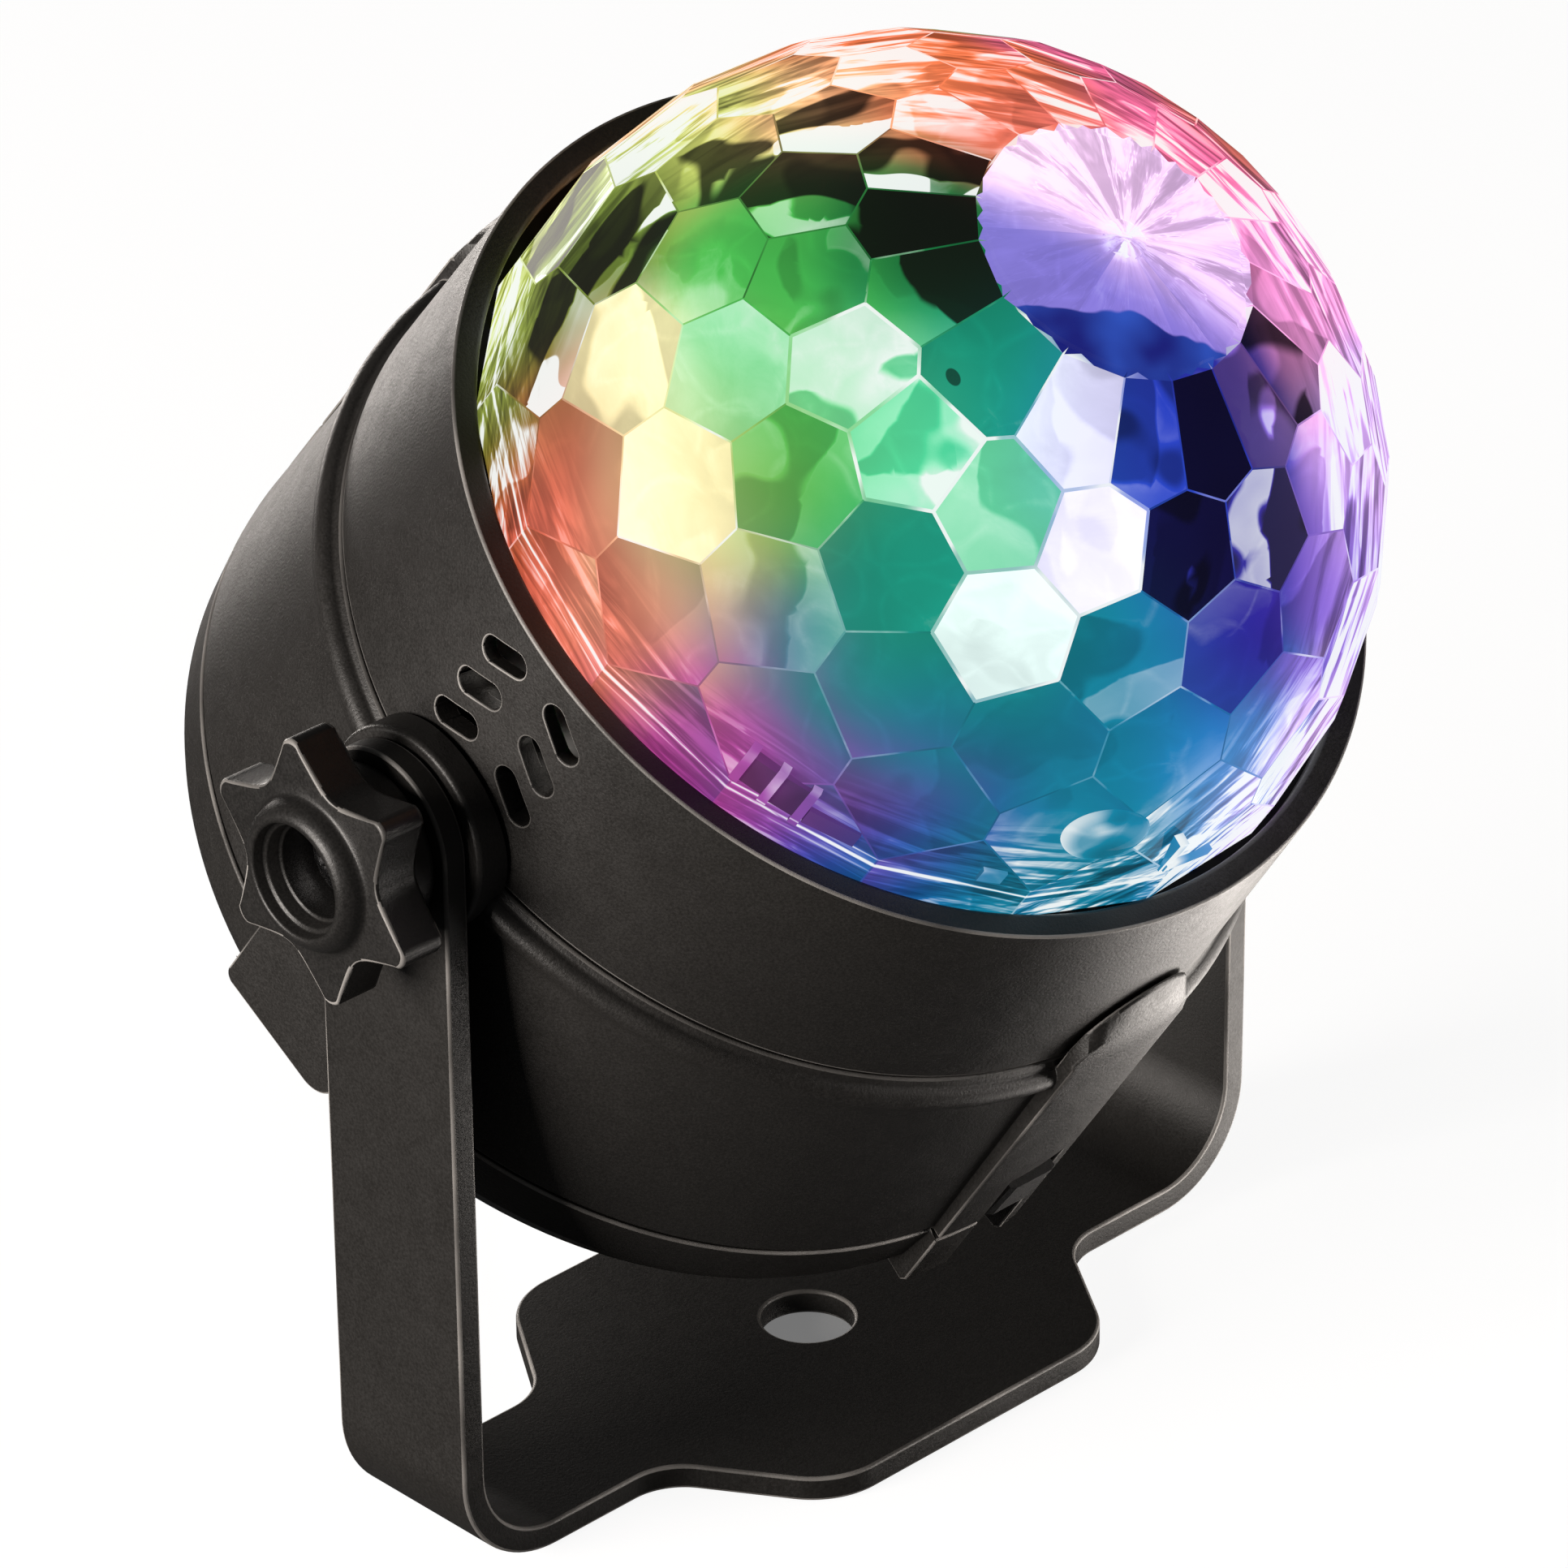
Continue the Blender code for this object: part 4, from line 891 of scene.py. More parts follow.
SEEN_RIGHT = DOME.to_3x3().inverted() @ right
SEEN_UP = DOME.to_3x3().inverted() @ up
FACET_HALF = 5.6


def across(n, degrees):
    """The direction in a facet's plane that runs at this angle in the front view, 0 to the right and 90 up."""
    t = math.radians(degrees)
    d = SEEN_RIGHT * math.cos(t) + SEEN_UP * math.sin(t)
    d = d - n * d.dot(n)
    return d.normalized()


def outward(n):
    d = n * n.dot(SEEN) - SEEN
    return d.normalized()


# facets whose inner flats show clearly: angle, offset in half facets, light beyond that line
STRIPS = {
    (0, 11): [(0, 0.66, 1.25), (180, 0.45, 0.72)], (0, 12): [(8, -0.02, 1.9), (8, 0.62, 0.40)], (0, 13): [(35, -0.25, 0.10)],
    (0, 14): [(180, 0.15, 3.2), (0, 0.35, 0.25)], (1, 12): [(180, 0.55, 1.5), (180, -0.05, 0.10), (-20, 0.42, 2.7)],
    (1, 13): [(180, 0.50, 2.6), (0, 0.05, 0.10)], (2, 13): [(270, 0.30, 1.4)], (1, 11): [(180, 0.52, 0.86), (0, 0.20, 1.10)],
    (1, 10): [(165, 0.42, 1.35)], (1, 9): [(140, 0.42, 1.5), (272, 0.40, 1.42)], (1, 8): [(105, -0.16, 1.75)],
    (0, 9): [], (2, 10): [], (3, 10): [], (3, 11): [(60, 0.7, 0.85)], (2, 11): [(75, 0.0, 1.12), (250, 0.35, 0.92)],
    (2, 9): [(-28, 0.28, 1.6)], (2, 12): [(95, 0.50, 1.5), (-70, 0.25, 1.25)], (3, 7): [(15, 0.55, 0.62)], (3, 8): [(95, 0.62, 0.9)],
    (3, 9): [(-18, 0.40, 1.35)], (2, 8): [(250, 0.45, 0.92)], (2, 7): [(20, 0.30, 0.85), (200, 0.5, 1.15)],
    (1, 7): [(180, 0.35, 1.5), (150, 0.05, 0.8)], (0, 8): [(35, -0.1, 0.05), (215, 0.5, 1.2)], (0, 7): [(35, -0.6, 0.04)],
    (1, 6): [(90, -0.25, 0.04), (270, 0.45, 2.2)], (3, 12): [(20, 0.3, 1.15)], (3, 13): [(120, 0.1, 0.85)],
}
# where the outer half of the facets is painted dark, as painted shade for the unlit inside of the case: direction,
# reach
DARK_ARC = [((-0.50, 0.62, 0.60), 0.962), ((-0.31, 0.60, 0.74), 0.98), ((-0.68, 0.62, 0.38), 0.96), ((-0.40, 0.36, 0.84), 0.975),
            ((-0.76, 0.56, 0.22), 0.975), ((0.10, -0.52, 0.85), 0.985), ((0.18, -0.36, 0.92), 0.985),
            ((0.70, 0.55, 0.45), 0.975), ((0.45, 0.82, 0.35), 0.975)]
DARK_ARC = [(Vector(d).normalized(), reach) for d, reach in DARK_ARC]


def facet_lines(k, i, n):
    r = random.Random(1000 * k + 31 * i)
    facing = n.dot(SEEN)
    if (k, i) in STRIPS:
        return [(across(n, angle), offset * FACET_HALF, light) for angle, offset, light in STRIPS[(k, i)]]
    dark = any(n.dot(d) > reach for d, reach in DARK_ARC)
    away = outward(n)
    side = n.cross(away)
    lines = []
    # painted shade over the outer part of the facet, with painted strips of light beyond it
    if dark:
        lines.append(((away + side * r.uniform(-0.25, 0.25)).normalized(), (-0.42 + 0.2 * r.random()) * FACET_HALF, 0.04))
        lines.append(((-away + side * r.uniform(-0.4, 0.4)).normalized(), 0.55 * FACET_HALF, 1.7))
        lines.append(((away + side * r.uniform(-0.5, 0.5)).normalized(), (0.45 + 0.2 * r.random()) * FACET_HALF, 11.0))
    elif -0.1 < facing < 0.5:
        for step in range(3):
            tilt = r.uniform(-0.35, 0.35)
            lines.append(((away + side * tilt).normalized(), (-0.55 + 0.5 * step + r.uniform(-0.15, 0.15)) * FACET_HALF,
                          r.choice((0.55, 0.75, 1.4, 1.7))))
    elif k >= 3:
        if r.random() < 0.7:
            lines.append((across(n, r.uniform(0, 360)), r.uniform(0.0, 0.5) * FACET_HALF, r.choice((0.82, 1.18))))
    else:
        lines.append((across(n, r.uniform(0, 360)), r.uniform(0.0, 0.5) * FACET_HALF, r.choice((0.6, 0.75, 1.3, 1.55))))
        if r.random() < 0.45:
            lines.append((across(n, r.uniform(0, 360)), r.uniform(0.15, 0.6) * FACET_HALF, r.choice((0.7, 1.4))))
    return lines


lines_of = {(k, i): facet_lines(k, i, n) for k, i, n in listed}

# coloured light inside the dome, in display values
CREAM, PEACH, SALMON, RED = (244, 230, 176), (240, 190, 150), (226, 112, 90), (206, 78, 60)
ORANGE, APRICOT, ROSE, PINK = (246, 120, 72), (252, 190, 140), (244, 110, 160), (240, 150, 212)
LILAC, VIOLET, PERIWINKLE = (206, 164, 232), (128, 96, 204), (130, 120, 208)
NAVY, ROYAL, AZURE, SEA, TEAL = (34, 26, 128), (38, 62, 186), (40, 118, 190), (14, 122, 148), (10, 142, 118)
MINT, LEAF, FOREST, OLIVE, LIME = (104, 206, 150), (66, 178, 74), (12, 104, 52), (96, 122, 40), (192, 204, 104)
SLATE, PLUM, MAGENTA = (96, 100, 150), (132, 70, 158), (188, 66, 150)
JADE, ICE, PEARL, INDIGO = (78, 208, 150), (226, 244, 240), (226, 222, 246), (40, 24, 140)
DISC_PINK = (244, 204, 240)
# soft lobes of light round the dome: direction in the dome's frame, colour
LOBES = [
    ((-0.87, 0.24, 0.44), CREAM), ((-0.80, -0.02, 0.60), OLIVE), ((-0.68, 0.20, 0.70), LEAF), ((-0.56, 0.40, 0.73), LEAF),
    ((-0.42, 0.17, 0.89), FOREST), ((-0.60, -0.10, 0.79), MINT), ((-0.44, -0.12, 0.89), TEAL), ((-0.72, -0.34, 0.60), TEAL),
    ((-0.70, -0.58, 0.42), SEA), ((-0.88, -0.24, 0.42), SLATE), ((-0.95, -0.06, 0.30), PEACH), ((-0.91, 0.36, 0.20), RED),
    ((-0.98, 0.04, 0.14), SALMON), ((-0.93, -0.34, 0.12), MAGENTA), ((-0.84, -0.52, 0.16), PLUM), ((-0.52, -0.84, 0.14), SEA),
    ((-0.36, -0.72, 0.60), SEA), ((-0.12, -0.90, 0.40), AZURE), ((-0.20, -0.46, 0.87), ROYAL), ((-0.06, -0.72, 0.68), NAVY),
    ((-0.32, -0.34, 0.88), AZURE), ((-0.18, -0.36, 0.92), ROYAL), ((-0.89, 0.06, 0.45), CREAM), ((0.22, -0.72, 0.66), VIOLET), ((0.40, -0.58, 0.70), LILAC), ((0.36, -0.20, 0.91), PINK),
    ((0.32, 0.14, 0.94), ROSE), ((0.06, 0.34, 0.94), SALMON), ((0.02, 0.58, 0.81), ORANGE), ((-0.20, 0.66, 0.72), APRICOT),
    ((-0.42, 0.72, 0.55), LIME), ((-0.62, 0.70, 0.34), OLIVE), ((-0.60, 0.78, 0.16), LIME), ((-0.82, 0.52, 0.20), OLIVE),
    ((-0.30, -0.84, 0.45), SEA), ((-0.45, -0.62, 0.64), SEA), ((-0.22, -0.74, 0.63), AZURE), ((-0.08, -0.28, 0.95), NAVY),
    ((-0.78, -0.46, 0.42), TEAL), ((-0.62, -0.66, 0.42), SEA), ((-0.64, -0.34, 0.69), TEAL), ((-0.55, -0.55, 0.63), TEAL),
    ((-0.72, -0.66, 0.22), PLUM), ((-0.66, -0.74, 0.10), ROYAL), ((-0.56, -0.82, 0.06), SEA), ((-0.42, -0.90, 0.08), SEA),
    ((-0.30, -0.95, 0.06), SEA), ((-0.17, -0.98, 0.10), SEA), ((-0.04, -0.99, 0.12), AZURE), ((-0.40, -0.89, 0.22), SEA), ((-0.84, 0.02, 0.54), LIME), ((-0.70, 0.0, 0.71), LEAF),
    ((0.75, -0.50, 0.40), LILAC), ((0.80, -0.05, 0.60), PINK), ((0.52, 0.50, 0.69), ROSE), ((0.20, 0.85, 0.45), ORANGE),
    ((0.93, -0.22, 0.28), ROYAL), ((0.90, 0.25, 0.35), AZURE), ((0.72, 0.60, 0.35), TEAL), ((0.45, 0.85, 0.27), LEAF),
    ((0.12, 0.97, 0.15), LIME), ((0.95, 0.05, 0.10), VIOLET), ((0.80, 0.55, 0.10), SEA), ((0.55, 0.82, 0.08), CREAM),
    ((0.82, -0.52, 0.12), PLUM), ((0.72, 0.30, 0.62), SALMON), ((0.62, -0.76, 0.12), PERIWINKLE),
    ((0.35, -0.92, 0.15), LILAC), ((0.14, -0.97, 0.16), LILAC), ((-0.05, 0.99, 0.12), APRICOT), ((0.85, 0.50, 0.22), MINT),
]
LOBES = [(Vector(d).normalized(), rgb) for d, rgb in LOBES]


# fine facet data, kept on the mesh's corners
rng = random.Random(7)
LIT = {(2, 11): 1.15, (1, 10): 1.1, (1, 11): 1.38, (0, 11): 1.3, (1, 8): 1.1, (3, 8): 1.42, (3, 7): 1.42, (1, 9): 1.05,
       (2, 8): 1.5, (2, 7): 1.15}
# facets that take most of their colour from one lamp
TINT = {(3, 8): (CREAM, 0.85), (3, 7): (CREAM, 0.85), (2, 8): (MINT, 0.45), (1, 10): (MINT, 0.7), (1, 8): (MINT, 0.55),
        (1, 9): (JADE, 0.7), (2, 11): (ICE, 0.9), (1, 11): (PEARL, 0.95), (0, 11): (PEARL, 0.75), (2, 9): (LEAF, 0.6), (0, 12): (ROYAL, 0.7),
        (1, 12): (INDIGO, 0.8), (0, 13): (INDIGO, 0.8), (1, 13): (INDIGO, 0.8), (2, 13): (INDIGO, 0.75), (0, 14): (VIOLET, 0.6),
        (0, 9): (TEAL, 0.7), (2, 10): (TEAL, 0.7), (2, 12): (SEA, 0.4), (3, 6): (OLIVE, 0.4), (4, 8): (SALMON, 0.5)}
# facets with crisp painted highlight lines round them: light level of their ground edges
OUTLINED = {(1, 8): 2.0, (1, 9): 1.9, (1, 10): 2.2, (1, 11): 2.2, (2, 11): 2.2, (0, 11): 1.9, (3, 7): 1.7, (3, 8): 1.55, (2, 8): 1.3}
FLAT = {(0, 9): 1.0, (2, 10): 0.95, (3, 10): 0.9, (3, 11): 0.95}
UNLIT = {(0, 7): 0.5, (0, 8): 0.85, (1, 6): 0.7, (0, 13): 0.75, (1, 13): 0.7, (0, 14): 0.5, (1, 12): 0.5, (0, 12): 0.65, (2, 13): 0.8,
         (4, 9): 0.8, (4, 10): 0.85}


def facet_values(k, i):
    usual = 0.74 + 0.24 * rng.random()
    n = dict(((a, b), n) for a, b, n in listed)[(k, i)]
    # facets near the outline of the front view, and those turned to one side, are painted brighter
    if -0.10 < n.dot(SEEN) < 0.5 or n.dot(Vector((0.35, 0.85, 0.4))) > 0.6:
        usual += 0.42
    elif n.dot(SEEN) <= -0.10 and random.Random(50 * k + i).random() < 0.3:
        usual += 0.35
    level = LIT.get((k, i)) or UNLIT.get((k, i)) or FLAT.get((k, i)) or usual
    return level, rng.random(), rng.random()


table = {(k, i): facet_values(k, i) for k, i, n in listed}


def blend_light(seen):
    """The light inside, seen in a direction, as linear colour."""
    total, weight = Vector((0, 0, 0)), 0.0
    for d, rgb in LOBES:
        w = math.exp(62.0 * (seen.dot(d) - 1))
        total += Vector(rgb) * w
        weight += w
    return linear(*(total / weight))


DISC_UP = Vector((0.87, 0.49, 0))


def disc_light(at, sector):
    """The pressed disc at the top: periwinkle on one side, lilac and pink on the other."""
    t = DISC_UP.dot(at) + 0.05 * (sector - 0.5) + 0.05
    f = max(0.0, min(1.0, t / 0.18 + 0.5))
    f = f * f * (3 - 2 * f)
    side = max(0.0, min(1.0, (at.x * 0.49 - at.y * 0.87 + 0.25) / 0.5))
    upper = Vector(LILAC) * (0.6 * side) + Vector(DISC_PINK) * (1 - 0.6 * side)
    lower = Vector(PERIWINKLE) * (1 - 0.3 * side) + Vector(VIOLET) * (0.3 * side)
    return linear(*(lower * (1 - f) + upper * f))


def refine(ob, longest):
    """Splits long edges of the outside, so that colours can change softly across a facet."""
    inverse = DOME.inverted()
    bm = bmesh.new()
    bm.from_mesh(ob.data)
    for step in range(6):
        outside = {v for v in bm.verts if (inverse @ v.co).length > 38.0 * MM and (inverse @ v.co).z > -0.5 * MM}
        edges = [e for e in bm.edges if e.calc_length() > longest * MM and e.verts[0] in outside and e.verts[1] in outside]
        if not edges:
            break
        bmesh.ops.subdivide_edges(bm, edges=edges, cuts=1)
        bmesh.ops.triangulate(bm, faces=[f for f in bm.faces if len(f.verts) > 4])
    bm.to_mesh(ob.data)
    bm.free()


def paint_facets(ob):
    """Stores, for each face corner, the light level and seeds, the kind of face, the light behind it and its direction."""
    mesh = ob.data
    inverse = DOME.inverted()
    turn = inverse.to_3x3()
    mesh.attributes.new("facet", "FLOAT_VECTOR", "CORNER")
    mesh.attributes.new("sort", "FLOAT_VECTOR", "CORNER")
    mesh.attributes.new("glow", "FLOAT_COLOR", "CORNER")
    mesh.attributes.new("cuts", "FLOAT_COLOR", "CORNER")
    mesh.attributes.new("lights", "FLOAT_COLOR", "CORNER")
    mesh.attributes.new("dome_dir", "FLOAT_VECTOR", "POINT")
    facet, sort, glow, cuts, lights, ray = (mesh.attributes[name] for name in ("facet", "sort", "glow", "cuts", "lights", "dome_dir"))
    for v in mesh.vertices:
        ray.data[v.index].vector = (inverse @ v.co) / (40 * MM)
    known = {}
    for p in mesh.polygons:
        n = (turn @ p.normal).normalized()
        near = sorted(listed, key=lambda f: -f[2].dot(n))
        k, i, best = near[0]
        at = inverse @ p.center
        flat = math.hypot(at.x, at.y)
        slope, shift, lines = None, Vector((0, 0, 0)), []
        lug = lug_light(at / MM, n)
        if at.z > (APEX_Z - 0.9) * MM and flat < 12.4 * MM and at.length > 37 * MM:
            az = math.degrees(math.atan2(at.y, at.x)) % 360
            sector = max((q for q, edge in enumerate(SECTORS) if az >= edge), default=len(SECTORS) - 1)
            r = random.Random(100 + sector)
            value, kind = (1.0, r.random(), r.random()), (0.0, 0.0, 1.0)
        elif lug is not None:
            value, kind = (lug, 0.3, 0.7), (0.0, 1.0, 0.0)
        elif best.dot(n) > 0.99995 and at.length > 38.4 * MM:
            level, seed_a, seed_b = table[(k, i)]
            lines = lines_of[(k, i)]
            r = random.Random(4000 * k + 100 * i)
            value, kind = (level, r.random(), r.random()), (1.0, 0.0, 0.0)
            amount = 0.02 if (k, i) in FLAT else 0.06 if best.dot(SEEN) > 0.55 else 0.10
            shift = Vector((r.random() - 0.5, r.random() - 0.5, r.random() - 0.5)) * amount
            slope = (r.random() - 0.5, r.random() - 0.5, r.random() - 0.5)
        # painted highlight lines on the ground edges between facets, set from the brighter facet beside them
        elif at.length > 38.4 * MM and n.z > -0.3 and at.z > (SKIRT_Z + FLANGE_T + 0.1) * MM and not best.dot(n) > 0.99995:
            pair = [table[(q, w)][0] for q, w, d in near[:2]]
            r = random.Random(int(near[0][0] * 400 + near[0][1] * 20 + near[1][1]))
            level = 0.35 + 0.85 * max(pair) * r.uniform(0.85, 1.2)
            names = [near[0][:2], near[1][:2]]
            if max(near[0][0], near[1][0]) >= 4 or set(names) & set(FLAT):
                level = min(level, 1.35)
            if min(near[0][0], near[1][0]) >= 3 and best.dot(SEEN) > 0.55:
                level = min(level, 1.0)
            if set(names) & set(OUTLINED):
                level = max(OUTLINED.get(name, 0) for name in names)
            elif all(any(d.dot(w) > reach for w, reach in DARK_ARC) for q, w_, d in near[:2]) and at.z > 22 * MM:
                level = min(level, 0.5)
            value, kind = (level, 0.5, 0.5), (0.0, 1.0, 0.0)
        else:
            value, kind = (0.0, 0.5, 0.5), (0.0, 0.0, 0.0)
        for c in p.loop_indices:
            v = mesh.loops[c].vertex_index
            key = (v, value, kind)
            if key not in known:
                d = Vector(ray.data[v].vector)
                level = value[0]
                if kind[2]:
                    rgb = disc_light(d, value[1])
                elif kind[0]:
                    local = d - best
                    rgb = blend_light((d + local * 0.35 + shift).normalized())
                    if (k, i) in TINT:
                        tint, share = TINT[(k, i)]
                        rgb = tuple(a + (b - a) * share for a, b in zip(rgb, linear(*tint)))
                    level *= 1 + 2.4 * local.dot(Vector(slope))
                else:
                    rgb = blend_light(d.normalized())
                known[key] = (level, rgb)
            level, rgb = known[key]
            where = (inverse @ mesh.vertices[v].co) / MM
            if lug == 1.0:
                level = boss_light(where)
            cuts.data[c].color = ([(d.dot(where) - offset) / FACET_HALF for d, offset, light in lines] + [-9.0] * 4)[:4]
            lights.data[c].color = ([light for d, offset, light in lines] + [1.0] * 4)[:4]
            facet.data[c].vector = (level, value[1], value[2])
            sort.data[c].vector = kind
            glow.data[c].color = (*rgb, 1)


# clear lugs and a boss moulded on the rim: azimuth, height, half width, half height, distance from the axis, painted
# light level of the front face
LUGS = [(206.1, 4.7, 1.3, 1.7, 40.1, 0.38), (210.5, 4.4, 1.3, 1.9, 39.9, 0.36), (217.0, 3.4, 2.4, 0.9, 39.95, 0.7),
        (204.0, 4.9, 0.42, 2.1, 40.35, 1.35), (208.3, 4.6, 0.42, 2.4, 40.2, 1.5), (212.8, 4.3, 0.42, 2.6, 40.05, 1.4),
        (238.0, 3.6, 1.1, 0.8, 39.95, 1.7), (262.5, 5.2, 0.5, 2.1, 40.1, 1.8), (266.0, 3.6, 2.6, 0.45, 40.2, 1.7)]
BOSS = turned(250.0).to_3x3() @ Matrix.Rotation(math.radians(-13.6), 3, "Y")
BOSS_W, BOSS_H = 4.1, 2.9


def on_boss(at):
    """Whether this point of the surface belongs to the boss; in millimetres, in the dome's frame."""
    p = BOSS.transposed() @ at
    return math.hypot(p.y / (BOSS_W + 0.03), p.z / (BOSS_H + 0.03)) < 1 and p.x > 39.2


def lug_light(at, n):
    """The light of a face of the lugs or of the boss, if it is one; in millimetres, in the dome's frame."""
    for az, z, w, h, out, light in LUGS:
        p = Matrix.Rotation(math.radians(-az), 3, "Z") @ at
        if abs(p.y) < w + 0.02 and abs(p.z - z) < h + 0.02 and out - 0.9 < p.x < out + 0.02:
            m = Matrix.Rotation(math.radians(-az), 3, "Z") @ n
            # painted light and shade by which way each face of the lug turns
            return light if m.x > 0.9 else max(light, 0.5) if m.z > 0.5 else 0.95 if az > 230 else 0.3
    return 1.0 if on_boss(at) else None


def boss_light(at):
    """The soft light over the boss: brighter round its near end, with a glint above its middle."""
    p = BOSS.transposed() @ at
    edge = max(0.0, min(1.0, (math.hypot(p.y / BOSS_W, p.z / BOSS_H) - 0.72) / 0.28))
    near = max(0.0, min(1.0, 0.45 - 0.55 * p.y / BOSS_W))
    glint = math.exp(-((p.y + 0.8) / 1.5) ** 2 - ((p.z - 1.15) / 0.6) ** 2)
    return 1.02 + 0.5 * edge * near + 0.5 * glint


SECTORS = (4, 22, 47, 61, 95, 118, 131, 148, 166, 189, 205, 236, 262, 281, 318, 339)
shell = body("faceted_dome", gem, DOME)
bm = bmesh.new()
rings = []
for r, z, lift in ((12.2, APEX_Z - 0.8, 0), (12.2, APEX_Z + 0.05, 0.05), (12.0, APEX_Z + 0.2, 0.16), (9.0, APEX_Z + 0.75, 0.3),
                   (6.0, APEX_Z + 1.25, 0.32), (3.4, APEX_Z + 1.6, 0.2), (2.0, APEX_Z + 1.75, 0.05)):
    row = []
    for q, edge in enumerate(SECTORS):
        after = SECTORS[q + 1] if q + 1 < len(SECTORS) else SECTORS[0] + 360
        fold = (0.9, -0.1, 0.6, 0.0, 1.0, 0.2)[q % 6]
        for step in range(6):
            t = step / 6
            az = math.radians(edge + (after - edge) * t)
            nxt = (0.9, -0.1, 0.6, 0.0, 1.0, 0.2)[(q + 1) % 6]
            h = fold + (nxt - fold) * t
            rr = r - (0.22 * math.sin(math.pi * t) ** 2 + 0.12 * (q % 3)) * (1 if 11 < r and z > APEX_Z - 0.5 else 0)
            row.append(bm.verts.new((rr * math.cos(az), rr * math.sin(az), z + lift * h)))
    rings.append(row)
n = len(rings[0])
for r, z, wave in ((1.75, APEX_Z + 2.0, 0.12), (1.2, APEX_Z + 2.15, 0.14), (0.6, APEX_Z + 2.1, 0.08)):
    rings.append([bm.verts.new(((r + wave * math.sin(7 * k)) * math.cos(2 * math.pi * k / n + math.radians(SECTORS[0])),
                                (r + wave * math.cos(5 * k)) * math.sin(2 * math.pi * k / n + math.radians(SECTORS[0])), z))
                  for k in range(n)])
for a, b in zip(rings, rings[1:]):
    for k in range(n):
        j = (k + 1) % n
        bm.faces.new((a[k], a[j], b[j], b[k]))
bm.faces.new(rings[0][::-1])
bm.faces.new(rings[-1])
shape(shell, bm, DOME, "UNION")
bm = bmesh.new()
lathe(bm, [(0, SKIRT_Z + 0.02), (FLANGE_R, SKIRT_Z + 0.02), (FLANGE_R, SKIRT_Z + FLANGE_T), (0, SKIRT_Z + FLANGE_T)], closed=False)
shape(shell, bm, DOME, "UNION")
for az, z, w, h, out, light in LUGS:
    bm = bmesh.new()
    made = block(bm, 37.6, out, -w, w, z - h, z + h)
    move(bm, made, Matrix.Rotation(math.radians(az), 4, "Z"))
    shape(shell, bm, DOME, "UNION")
bm = bmesh.new()
rings = []
for shrink, out in ((0, 37.2), (0, 39.75), (0.1, 40.04), (0.32, 40.22), (0.7, 40.34), (1.25, 40.42), (1.9, 40.46), (2.5, 40.48)):
    rings.append([bm.verts.new(BOSS @ Vector((out, (BOSS_W - shrink) * math.cos(2 * math.pi * q / 48),
                                              (BOSS_H - shrink) * math.sin(2 * math.pi * q / 48)))) for q in range(48)])
for inner, outer in zip(rings, rings[1:]):
    for q in range(48):
        w = (q + 1) % 48
        bm.faces.new((inner[q], inner[w], outer[w], outer[q]))
bm.faces.new(rings[0][::-1])
bm.faces.new(rings[-1])
bmesh.ops.recalc_face_normals(bm, faces=bm.faces[:])
shape(shell, bm, DOME, "UNION")
bm = bmesh.new()
bowl = [(37.4, SKIRT_Z - 2), (37.4, -0.6)]
bowl += [(DOME_IN_R * math.cos(math.radians(a)), DOME_IN_R * math.sin(math.radians(a))) for a in range(3, 88, 4)]
lathe(bm, [(0, SKIRT_Z - 2)] + bowl + [(0, DOME_IN_R)], 96, closed=False)
shape(shell, bm, DOME)
refine(shell, 1.9)
shell.data.shade_smooth()
shell.data.set_sharp_from_angle(angle=math.radians(4.5))
bm = bmesh.new()
bm.from_mesh(shell.data)
of_boss = {v for v in bm.verts if on_boss(DOME.inverted() @ v.co / MM)}
for e in bm.edges:
    if len(e.link_faces) == 2 and all(v in of_boss for f in e.link_faces for v in f.verts):
        e.smooth = True
bm.to_mesh(shell.data)
bm.free()

paint_facets(shell)


CRESCENT_AT = -SEEN_UP.z * 0.96 + 0.17


